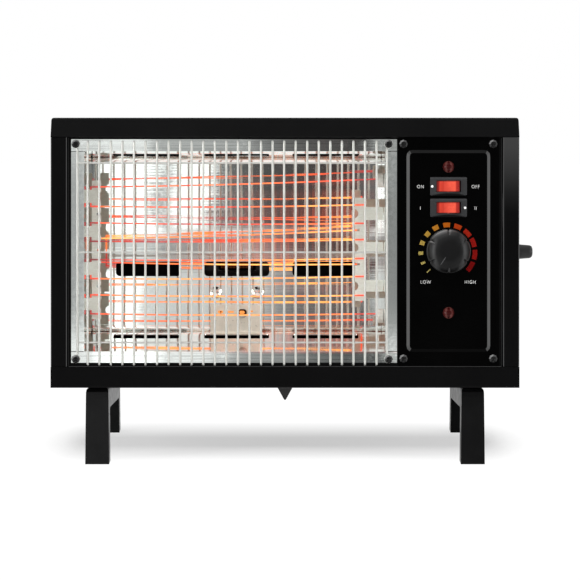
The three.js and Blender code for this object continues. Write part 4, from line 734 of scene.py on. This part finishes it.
def ridged_metal(name, tint, pitch, axis, roughness):
    finish, tree, shader, place = new_finish(name)
    bands = tree.nodes.new("ShaderNodeTexWave")
    bands.bands_direction = axis
    feed(bands, {"Scale": pitch / (2 * math.pi), "Distortion": ridge_wander, "Vector": place})
    feed(shader, {"Base Color": ramp(tree, bands.outputs["Fac"], *tint), "Metallic": 1,
                  "Roughness": vary(tree, mottle(tree, place, ridge_wear), *roughness)})
    relief(tree, shader, bands.outputs["Fac"], ridge_relief, ridge_depth)
    return finish


def moulded(name, tint, roughness, grain=1400, strength=0.25, gloss=0.4):
    return surface(name, tint, plastic_clouds, roughness, plastic_wear, (grain, 2), strength, gloss=gloss)


black_plastic = moulded("moulded black plastic", plastic_black, plastic_roughness)
laminations = ridged_metal("steel laminations", lamination_painted_shade_tint, lamination_pitch, "Y", lamination_roughness)
winding = ridged_metal("copper winding", copper_tint, winding_pitch, "X", winding_roughness)
dress("motor_stack", laminations, small_edge)
dress("motor_coil", winding, winding_edge)
bright_stud = plated_steel("polished dome nut", stud_tint, stud_roughness, stud_ripple)
for stud in ("motor_stud_left", "motor_stud_right"):
    dress(stud, bright_stud, small_edge)
dress("fan_rotor", black_plastic, small_edge)

# Partition and wiring fittings. A fibre board keeps the heat off the switches; the terminal block
# is ceramic, the alarm's sounder and the supply cord's bush are black plastic.
soft_edge = 0.0004
fibre_tint = ((0.3, (0.20, 0.17, 0.13)), (0.7, (0.34, 0.30, 0.23)))
fibre_roughness, fibre_grain = (0.7, 0.9), 300
fibre_relief, fibre_gloss = 0.6, 0.2
fibre = moulded("pressed fibre board", fibre_tint, fibre_roughness, fibre_grain, fibre_relief, fibre_gloss)
dress("heat_baffle", fibre, small_edge)
dress("terminal_block", ceramic, soft_edge)
for fitting in ("alarm_buzzer", "cord_bush", "power_lamp", "alarm_lamp", "side_switch", "tilt_switch"):
    dress(fitting, black_plastic, small_edge)

# Rocker switches. Dark grey nylon housings snap into the panel; the rockers are translucent red
# polycarbonate with a neon lamp behind. A white dot marks the power switch's left and the heat
# switch's right.
housing_grey = ((0.3, (0.034, 0.035, 0.036)), (0.7, (0.044, 0.045, 0.047)))
# Painted shade on the housings' arched bottom lip, a painted highlight on the top lip, and darker at the very
# top edge.
housing_painted_shade_low = ((-0.0064, 0.04), (-0.0054, 0.8), (0.0, 0.85))
housing_painted_light_high = ((0.0050, 0.9), (0.0060, 0.9), (0.0066, 1.2), (0.0074, 1.1), (0.0077, 0.05))
housing_roughness, housing_grain = (0.42, 0.55), 1500
housing_relief, housing_gloss = 0.35, 0.1
housing_shade_arch = 9.3
rocker_red = ((0.3, (0.10, 0.006, 0.004)), (0.7, (0.14, 0.009, 0.006)))
# The rockers glow from the lamp behind; their ends, edges and left part are darker as painted shade.
rocker_glow_and_shade_across = ((-0.0097, (0.04, 0.002, 0.002)), (-0.0084, (0.16, 0.006, 0.005)),
                 (-0.0074, (0.56, 0.046, 0.022)), (-0.0042, (0.50, 0.036, 0.020)),
                 (-0.0036, (0.60, 0.060, 0.034)), (0.0056, (0.78, 0.100, 0.052)),
                 (0.0066, (0.34, 0.014, 0.008)), (0.0084, (0.16, 0.006, 0.005)),
                 (0.0097, (0.05, 0.002, 0.002)))
rocker_glow_and_shade_upright = ((-0.0046, 0.3), (-0.0038, 0.95), (0.0, 1.0), (0.0034, 1.0), (0.0040, 0.6), (0.0046, 0.2))
rocker_glow = (0.92, 1.08)
rocker_roughness, rocker_gloss = (0.2, 0.3), 0.3
rocker_clouds, rocker_bumps = (160, 3), (90, 2)
rocker_relief, rocker_depth = 0.1, 0.0003
ink_roughness, ink_gloss = (0.35, 0.5), 0.05
ink_clouds, ink_wear, ink_grain = (300, 4), (500,), (1500, 2)
ink_relief, ink_depth = 0.15, 0.00005
dot_radius, dot_dome, dot_steps = 0.0011, 0.0001, 24
dot_lift, dot_drop = 0.00002, 0.00015
dot_white = ((0.3, (0.78, 0.78, 0.76)), (0.7, (0.88, 0.88, 0.87)))
bezel_front = -0.0009
housing_edge, rocker_edge = 0.0004, 0.0006
switch_heights = {"power": 0.1721, "heat": 0.1538}
dot_places = {"power": 0.1255, "heat": 0.1535}


def shaded(tree, colour, shade):
    return vector_step(tree, "MULTIPLY", vector_step(tree, "MULTIPLY", colour, shade), (2, 2, 2))


def lit_plastic(name, node, centre):
    finish = surface(name, rocker_red, rocker_clouds, rocker_roughness, rocker_clouds, rocker_bumps,
                     rocker_relief, rocker_depth, rocker_gloss)
    tree, shader, place = opened(finish)
    right, up = right_and_up(tree, place, centre, nodes[node].matrix_world.inverted())
    glow = shaded(tree, banded(tree, right, rocker_glow_and_shade_across), banded(tree, up, rocker_glow_and_shade_upright))
    strength = vary(tree, mottle(tree, place, *rocker_clouds), *rocker_glow)
    feed(shader, {"Emission Color": glow, "Emission Strength": strength})
    return finish


def switch_housing(name, node, centre):
    finish = moulded(name, housing_grey, housing_roughness, housing_grain, housing_relief, housing_gloss)
    tree, shader, place = opened(finish)
    right, up = right_and_up(tree, place, centre, nodes[node].matrix_world.inverted())
    arch = combine(tree, "MULTIPLY", combine(tree, "MULTIPLY", right, right), housing_shade_arch)
    colour = shader.inputs["Base Color"].links[0].from_socket
    colour = shaded(tree, colour, banded(tree, combine(tree, "ADD", up, arch), housing_painted_shade_low))
    feed(shader, {"Base Color": shaded(tree, colour, banded(tree, up, housing_painted_light_high))})
    return finish


def ink(name, tint):
    return surface(name, tint, ink_clouds, ink_roughness, ink_wear, ink_grain,
                   ink_relief, ink_depth, ink_gloss)


def flat_dot(name, right, back, up, finish):
    points = [cab(right, back - dot_dome, up)] + ring_points(right, back, up, dot_radius, dot_steps)
    faces = [(0, 1 + (i + 1) % dot_steps, 1 + i) for i in range(dot_steps)]
    disc = new_piece(name, points, faces, finish)
    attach(disc, "cabinet")
    return disc


white_ink = ink("white ink", dot_white)
for switch, up in switch_heights.items():
    centre = cab(knob_right, bezel_front, up)
    housing, rocker = f"{switch}_switch", f"{switch}_rocker"
    dress(housing, switch_housing(f"{switch} switch nylon", housing, centre), housing_edge, steps=3)
    dress(rocker, lit_plastic(f"{switch} rocker red", rocker, centre), rocker_edge, steps=3)
    dot = flat_dot(f"{switch}_dot", dot_places[switch], bezel_front - dot_lift, up - dot_drop, white_ink)

# Pilot lamps. Small red lenses, cut on the inside into facets that throw back the light, are pushed
# into the panel from the front. Both are dark, with painted pale glints on the facets to either side.
lens_heights = {"power": 0.1886, "alarm": 0.0641}
lens_radius, lens_height = 0.0049, 0.004
lens_rings = ((1.0, 0.0), (0.98, 0.12), (0.80, 0.58), (0.45, 0.9), (0.0, 1.0))
lens_facets = 10
lens_red = ((0.3, (0.022, 0.001, 0.001)), (0.7, (0.035, 0.002, 0.002)))
# Painted glints: emission on facets turned to either side.
painted_lens_glints = ((0.0, (0.0005, 0, 0)), (0.15, (0.001, 0, 0)), (0.32, (0.10, 0.042, 0.036)),
               (0.6, (0.055, 0.016, 0.014)), (0.95, (0.008, 0.0005, 0.0005)))
lens_seat = 0.0011
lens_glint_strength = (0.7, 1.1)
lens_clouds, lens_roughness = (300, 3), (0.1, 0.2)
lens_relief, lens_depth, lens_gloss = 0.1, 0.0002, 0.1


def build_lens(name, up, finish):
    points, faces = [], []
    for ring, (across, rise) in enumerate(lens_rings[:-1]):
        points += ring_points(knob_right, lens_seat - lens_height * rise, up, lens_radius * across,
                              lens_facets, math.pi / lens_facets * (ring % 2))
    tip = len(points)
    points.append(cab(knob_right, lens_seat - lens_height, up))
    for ring in range(len(lens_rings) - 2):
        near, far = ring * lens_facets, (ring + 1) * lens_facets
        for step in range(lens_facets):
            ahead = (step + 1) % lens_facets
            top, foot = (far + ahead, near + step) if ring % 2 else (far + step, near + ahead)
            faces += [(near + step, near + ahead, top), (foot, far + ahead, far + step)]
    last = (len(lens_rings) - 2) * lens_facets
    faces += [(last + step, last + (step + 1) % lens_facets, tip) for step in range(lens_facets)]
    faces.append(tuple(range(lens_facets)))
    lens = new_piece(name, points, faces, finish, smooth=False)
    outward(lens)
    return lens


def cut_lens(name):
    finish = surface(name, lens_red, lens_clouds, lens_roughness, lens_clouds, lens_clouds,
                     lens_relief, lens_depth, lens_gloss)
    tree, shader, place = opened(finish)
    sideways = combine(tree, "ABSOLUTE", lean(tree, right_way), 0)
    strength = vary(tree, mottle(tree, place, *lens_clouds), *lens_glint_strength)
    feed(shader, {"Emission Color": ramp(tree, sideways, *painted_lens_glints), "Emission Strength": strength})
    return finish


lens_finish = cut_lens("dark red lens")
for lamp, up in lens_heights.items():
    lens = build_lens(f"{lamp}_lens_cut", up, lens_finish)
    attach(lens, "cabinet")
    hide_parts(f"{lamp}_lens")

# Thermostat. A steel switch block sits behind the panel; its black phenolic knob is pushed on the
# spindle. The knob is a shallow bell with a thumb skirt: six nicks in the rim, a soft shoulder, and
# an engraved grey pointer.
skirt_radius, crown_radius = 0.0188, 0.0075
knob_height, knob_wall, skirt_band = 0.015, 0.002, 0.0024
bell_radius, bell_floor, bell_power = skirt_radius - 0.0006, skirt_band + 0.0004, 0.9
rim_round, shoulder_round, crown_dish = 0.0003, 0.0001, 0.0003
knob_steps, bell_steps, knob_crease = 144, 14, 38
knob_weld = 0.00001
nick_count, nick_depth, nick_width = 6, 0.0011, 0.05
nick_start = skirt_radius * 0.8
pointer_turn = math.radians(-147)
pointer_reach = (0.0058, 0.0140)
pointer_half, pointer_blunt, pointer_squareness = 0.00034, 0.12, 6
pointer_lift, pointer_crown = 0.00003, 0.00012
pointer_steps = 8
knob_black = ((0.3, (0.0025, 0.0025, 0.0026)), (0.7, (0.004, 0.004, 0.0042)))
knob_roughness, knob_gloss = (0.34, 0.44), 0.16
knob_grain, knob_relief = 1300, 0.2
# Painted highlights: crescents on the knob's sides and an arc on its upper left crown.
knob_painted_side_highlights = ((0.0, 0), (0.35, 0.004), (0.6, 0.045), (0.78, 0.02), (1.0, 0.006))
knob_painted_crown_highlight = ((0.0, 0), (0.45, 0.004), (0.72, 0.03), (0.86, 0.10), (0.96, 0.22))
crown_way = (-0.32, 0.1, 0.94)
pointer_grey = ((0.3, (0.060, 0.060, 0.062)), (0.7, (0.085, 0.085, 0.088)))


def by_clock(angle, reach, back, right=0, up=0):
    return cab(knob_right + right + reach * math.sin(angle), back, knob_up + up + reach * math.cos(angle))


def bell_height(radius):
    outness = min(max((radius - crown_radius) / (bell_radius - crown_radius), 0), 1)
    return bell_floor + (knob_height - bell_floor) * math.sqrt(1 - outness ** 2) ** bell_power


def knob_profile():
    profile = [(0.0, knob_height - crown_dish)]
    for step in range(bell_steps + 1):
        radius = crown_radius + (bell_radius - crown_radius) * math.sin(math.pi / 2 * step / bell_steps)
        profile.append((radius, bell_height(radius)))
    inside = knob_height - 2 * knob_wall
    profile += [(skirt_radius - shoulder_round, skirt_band + shoulder_round),
                (skirt_radius, skirt_band - rim_round), (skirt_radius, rim_round),
                (skirt_radius - rim_round, 0.0), (skirt_radius - knob_wall, 0.0), (crown_radius, inside),
                (0.0, inside)]
    return profile


def build_knob(finish):
    profile = knob_profile()
    points = []
    for radius, rise in profile:
        for step in range(knob_steps):
            angle = 2 * math.pi * step / knob_steps
            nearness = min(abs((angle - 2 * math.pi * nick / nick_count + math.pi) % (2 * math.pi) - math.pi)
                           for nick in range(nick_count))
            dent = nick_depth * max(0.0, 1 - (nearness / nick_width) ** 2) if radius > nick_start else 0
            reach = max(radius - dent, 0.0)
            points.append(by_clock(angle, reach, knob_back - rise))
    knob = new_piece("dial_knob", points, web(len(profile), knob_steps), finish)
    outward(knob, knob_weld)
    smooth_by_angle(knob, knob_crease)
    return knob


def build_pointer(finish):
    inner, outer = pointer_reach
    across, down = math.cos(pointer_turn), -math.sin(pointer_turn)
    points = []
    for step in range(pointer_steps + 1):
        share = step / pointer_steps
        reach = inner + (outer - inner) * share
        half = pointer_half * math.sqrt(max(pointer_blunt, 1 - (2 * share - 1) ** pointer_squareness))
        for side in (-1, 0, 1):
            lift = pointer_lift + pointer_crown * (side == 0)
            points.append(by_clock(pointer_turn, reach, knob_back - bell_height(reach) - lift,
                                   across * half * side, down * half * side))
    pointer = new_piece("dial_pointer", points, web(pointer_steps + 1, 3, closed=False), finish)
    outward(pointer)
    return pointer


knob_plastic = moulded("satin phenolic", knob_black, knob_roughness, knob_grain, knob_relief, knob_gloss)
paint_highlights(knob_plastic, (right_way, knob_painted_side_highlights), (crown_way, knob_painted_crown_highlight))
knob = build_knob(knob_plastic)
pointer = build_pointer(ink("pointer fill", pointer_grey))
for part in (knob, pointer):
    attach(part, "thermostat_knob")
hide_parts("thermostat_knob")
dress("thermostat", zinc, small_edge)
dress("thermostat_spindle", zinc, thin_edge)

# Dial print. Twelve marks are screen printed on the panel round the knob, growing and turning from
# pale gold ticks to broad red blocks. Plain legends in white name the switch positions and the ends
# of the dial.
mark_ring = 0.0231
mark_depth = 0.0040
mark_shift = (-0.0005, -0.0007)
mark_angles = (-134.4, -114, -92.6, -70.7, -48.9, -26.8, -2.6, 21.4, 45.9, 69.6, 95.7, 122.7)
mark_narrow, mark_wide = 0.0009, 0.0089
mark_growth, mark_fade = 0.8, 0.9
mark_steps = 6
print_front = 0.00132
mark_colours = ((0.0, (0.34, 0.28, 0.09)), (0.2, (0.36, 0.28, 0.07)), (0.36, (0.38, 0.22, 0.035)),
                (0.5, (0.40, 0.12, 0.006)), (0.62, (0.36, 0.040, 0.004)), (0.75, (0.27, 0.008, 0.005)),
                (1.0, (0.15, 0.002, 0.002)))
legend_height = 0.0041
legend_narrow = 0.88
legend_spacing = 1.18
legend_tint = ((0.3, (0.50, 0.50, 0.49)), (0.7, (0.60, 0.60, 0.59)))
legends = (("ON", 0.1156, 0.1716), ("OFF", 0.1626, 0.1716), ("I", 0.1156, 0.1532), ("II", 0.1626, 0.1532),
           ("LOW", 0.1200, 0.0902), ("HIGH", 0.1580, 0.0902))


def mark_colour(share):
    for (low, start), (high, end) in zip(mark_colours, mark_colours[1:]):
        if share <= high:
            mix = (share - low) / (high - low)
            return tuple(a + (b - a) * mix for a, b in zip(start, end))
    return mark_colours[-1][1]


def print_mark(index):
    share = index / (len(mark_angles) - 1)
    middle = math.radians(mark_angles[index])
    half = (mark_narrow + (mark_wide - mark_narrow) * share ** mark_growth) / 2 / mark_ring
    colour = mark_colour(share)
    tint = ((0.3, tuple(c * mark_fade for c in colour)), (0.7, colour))
    points = []
    for step in range(mark_steps + 1):
        angle = middle - half + 2 * half * step / mark_steps
        for reach in (mark_ring - mark_depth / 2, mark_ring + mark_depth / 2):
            points.append(by_clock(angle, reach, print_front, *mark_shift))
    mark = new_piece(f"dial_mark_{index + 1}", points, web(mark_steps + 1, 2, closed=False),
                     ink(f"dial ink {index + 1}", tint), smooth=False)
    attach(mark, "cabinet")


def square_to_front(spot):
    return Matrix.Translation(spot) @ Matrix((right_way, up_way, -back_way)).transposed().to_4x4()


def print_legend(words, right, up, finish):
    text = bpy.data.curves.new(f"legend_{words}", "FONT")
    text.body = words
    text.size = legend_height
    text.space_character = legend_spacing
    text.align_x = "CENTER"
    text.align_y = "CENTER"
    text.materials.append(finish)
    legend = placed(f"legend_{words}", text)
    narrowed = Matrix.Diagonal((legend_narrow, 1, 1, 1))
    legend.matrix_world = square_to_front(cab(right, print_front, up)) @ narrowed
    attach(legend, "cabinet")


for mark in range(len(mark_angles)):
    print_mark(mark)
legend_white = ink("legend white", legend_tint)
for words, right, up in legends:
    print_legend(words, right, up, legend_white)

# Side control. A slim tapered knob in black plastic stands out of the right wall on its own
# spindle, with a groove along its top to show where it points.
side_knob_edge = 0.0006
dress("side_knob", black_plastic, side_knob_edge, steps=3)

# Screws. Truss-head cross-recess screws of blackened steel hold the grille, the control panel and the
# rear sheet. A painted highlight lies on the upper left slope of each head, and a fainter one on its sides.
screw_tint = ((0.3, (0.008, 0.008, 0.008)), (0.7, (0.020, 0.020, 0.020)))
# Painted highlights on the heads' slopes and sides.
screw_painted_slope_highlight = ((0.0, 0), (0.3, 0.02), (0.55, 0.12), (0.9, 0.30))
screw_painted_side_highlight = ((0.0, 0), (0.4, 0.02), (0.7, 0.05), (1.0, 0.02))
slope_way = (-0.55, 0, 0.83)
screw_roughness, screw_edge = (0.28, 0.42), 0.00025
screw_black = plated_steel("blackened steel", screw_tint, screw_roughness)
paint_highlights(screw_black, (right_way, screw_painted_side_highlight), (slope_way, screw_painted_slope_highlight))
for node in nodes:
    if "_screw_" in node:
        dress(node, screw_black, screw_edge)

# Tip-over switch. A weighted black lever hangs on its zinc bracket through a slot in the base, so
# the heater cuts out when it is knocked over.
dress("tilt_bracket", zinc, thin_edge)
dress("tilt_lever", black_plastic, soft_edge)

# Feet. Two bridge-shaped mouldings of black polypropylene run front to back under the base; edges
# are generously rounded and the surface has a fine satin grain.
foot_black = ((0.3, (0.0035, 0.0035, 0.0036)), (0.7, (0.006, 0.006, 0.0062)))
foot_roughness, foot_edge = (0.3, 0.42), 0.0012
foot_grain, foot_relief = 1200, 0.12
foot_gloss = {"left": 0.16, "right": 0.05}
for side, gloss in foot_gloss.items():
    foot_plastic = moulded(f"satin {side} foot moulding", foot_black, foot_roughness, foot_grain, foot_relief,
                           gloss)
    dress(f"foot_{side}", foot_plastic, foot_edge, steps=4)

# Studio. A white sweep of paper lies under and behind the heater; soft boxes hang above, left and
# right. Bands of grey in the world stand for the room that the bright trough mirrors. The camera
# stands square to the leaning front, as in the photograph.
picture_width = 580
focal_pixels = 2814
centre_across, centre_down = 285, 227
camera_distance, camera_height = 2.4, 0.1373
sensor_width = 36
paper_size = 6.0
paper_white = ((0.3, (0.86, 0.86, 0.86)), (0.7, (0.88, 0.88, 0.88)))
paper_roughness, paper_gloss, paper_clouds = 0.9, 0.1, 3
paper_glow = (0.5, 1.0)
paper_reach = (0.02, 0.11)
paper_centre = (0.01, -0.007, 0)
paper_half = (0.17, 0, 0)
paper_fade = (2, 1, 0)
paper_strength = 1.06
room_grey = 0.42
sheen_back = 0.95
sheen_wobble, wobble_scale = 0.006, 18
sheen_turn = (-0.25, 0.35)
sheen_step = (0.03, 0.055)
sheen_high = ((-0.12, 0.55), (-0.07, 0.55), (-0.0665, 1.4), (-0.0485, 1.4), (-0.047, 0.46), (-0.0402, 0.44),
              (-0.039, 1.4), (-0.0265, 1.4), (-0.025, 0.18), (-0.01, 0.10), (0.0, 0.07), (0.012, 0.04),
              (0.022, 0.04), (0.028, 0.08), (0.04, 0.14), (0.12, 0.30))
sheen_low = ((-0.12, 0.75), (-0.0712, 0.75), (-0.0705, 1.4), (-0.0475, 1.4), (-0.0455, 0.72), (-0.0215, 0.58),
             (-0.0205, 0.90), (-0.0185, 0.90), (-0.0175, 0.50), (0.005, 0.15), (0.033, 0.08), (0.0352, 0.55),
             (0.0360, 0.80), (0.0368, 0.80), (0.0376, 0.55), (0.12, 0.45))
sheen_lift = ((-1, 1.0), (0.03, 1.05), (0.052, 1.2), (0.064, 1.2), (0.072, 0.5), (0.122, 0.5), (0.130, 0.72),
              (0.138, 0.72), (0.146, 0.5), (0.175, 0.5), (0.195, 1.0), (0.45, 1.0), (0.6, 1.5), (1, 1.5))
box_aim = (0, 0.05, 0.12)
soft_boxes = (
    ("soft_box_top", (0.0, -0.6, 1.8), (1.5, 1.1), 30, False),
    ("soft_box_left", (-1.4, -0.75, 0.35), (0.35, 1.1), 12, True),
    ("soft_box_right", (1.4, -0.75, 0.35), (0.3, 1.0), 7, True),
)


def mix_shaders(tree, share, first, second):
    blend = tree.nodes.new("ShaderNodeMixShader")
    feed(blend, {0: share, 1: first, 2: second})
    return blend.outputs[0]


def build_floor():
    half = paper_size / 2
    corners = [(-half, -half, 0), (half, -half, 0), (half, half, 0), (-half, half, 0)]
    finish, tree, shader, place = new_finish("white paper sweep")
    feed(shader, {"Roughness": paper_roughness, "Specular IOR Level": paper_gloss,
                  "Base Color": ramp(tree, mottle(tree, place, paper_clouds), *paper_white)})
    glow = tree.nodes.new("ShaderNodeEmission")
    feed(glow, {"Strength": paper_strength})
    seen = tree.nodes.new("ShaderNodeLightPath")
    away = place
    for operation, value in (("ADD", paper_centre), ("ABSOLUTE", (0, 0, 0)), ("SUBTRACT", paper_half),
                             ("MAXIMUM", (0, 0, 0)), ("MULTIPLY", paper_fade)):
        away = vector_step(tree, operation, away, value)
    away = vector_step(tree, "LENGTH", away, (0, 0, 0), "Value")
    either = combine(tree, "MAXIMUM", seen.outputs["Is Camera Ray"], seen.outputs["Is Glossy Ray"])
    share = combine(tree, "MULTIPLY", either, spread(tree, away, *paper_reach, *paper_glow))
    paper = mix_shaders(tree, share, shader.outputs["BSDF"], glow.outputs[0])
    feed(tree.nodes["Material Output"], {"Surface": paper})
    floor = new_piece("paper_floor", corners, [(0, 1, 2, 3)], finish, smooth=False)


def white_background(tree, strength):
    background = tree.nodes.new("ShaderNodeBackground")
    feed(background, {"Color": (1, 1, 1, 1), "Strength": strength})
    return background.outputs[0]


def build_room():
    world = bpy.data.worlds.new("white studio")
    bpy.context.scene.world = world
    world.use_nodes = True
    tree = world.node_tree
    seen = tree.nodes.new("ShaderNodeLightPath")
    place = tree.nodes.new("ShaderNodeTexCoord").outputs["Generated"]
    parts = tree.nodes.new("ShaderNodeSeparateXYZ")
    feed(parts, {"Vector": place})
    wobble = vary(tree, mottle(tree, place, wobble_scale, 2), -sheen_wobble, sheen_wobble)
    across = combine(tree, "ADD", parts.outputs["X"], wobble)
    high, low = (banded(tree, across, stops) for stops in (sheen_high, sheen_low))
    front = mixed(tree, spread(tree, parts.outputs["Z"], *sheen_step, 0, 1), high, low)
    lift = banded(tree, parts.outputs["Z"], sheen_lift)
    front = combine(tree, "MULTIPLY", combine(tree, "MULTIPLY", front, lift), 4)
    sheen = mixed(tree, spread(tree, parts.outputs["Y"], *sheen_turn, 0, 1), front, sheen_back)
    mirrored = mix_shaders(tree, seen.outputs["Is Glossy Ray"], white_background(tree, room_grey),
                           white_background(tree, sheen))
    either = combine(tree, "MAXIMUM", seen.outputs["Is Camera Ray"], seen.outputs["Is Transmission Ray"])
    surroundings = mix_shaders(tree, either, mirrored, white_background(tree, 1))
    feed(tree.nodes["World Output"], {"Surface": surroundings})


def hang_soft_box(name, place, size, power, mirrored):
    lamp = bpy.data.lights.new(name, "AREA")
    lamp.shape = "RECTANGLE"
    lamp.size, lamp.size_y = size
    lamp.energy = power
    box = placed(name, lamp)
    box.visible_glossy = mirrored
    aim = cab(*box_aim) - Vector(place)
    box.matrix_world = Matrix.Translation(place) @ aim.to_track_quat("-Z", "Y").to_matrix().to_4x4()


def set_camera():
    lens = bpy.data.cameras.new("camera")
    lens.sensor_width = sensor_width
    lens.lens = focal_pixels / picture_width * sensor_width
    lens.shift_x = (picture_width / 2 - centre_across) / picture_width
    lens.shift_y = (centre_down - picture_width / 2) / picture_width
    camera = placed("camera", lens)
    camera.matrix_world = square_to_front(cab(0, -camera_distance, camera_height))
    bpy.context.scene.camera = camera


build_floor()
build_room()
for box in soft_boxes:
    hang_soft_box(*box)
set_camera()
bpy.context.scene.view_settings.view_transform = "Standard"
bpy.context.view_layer.update()
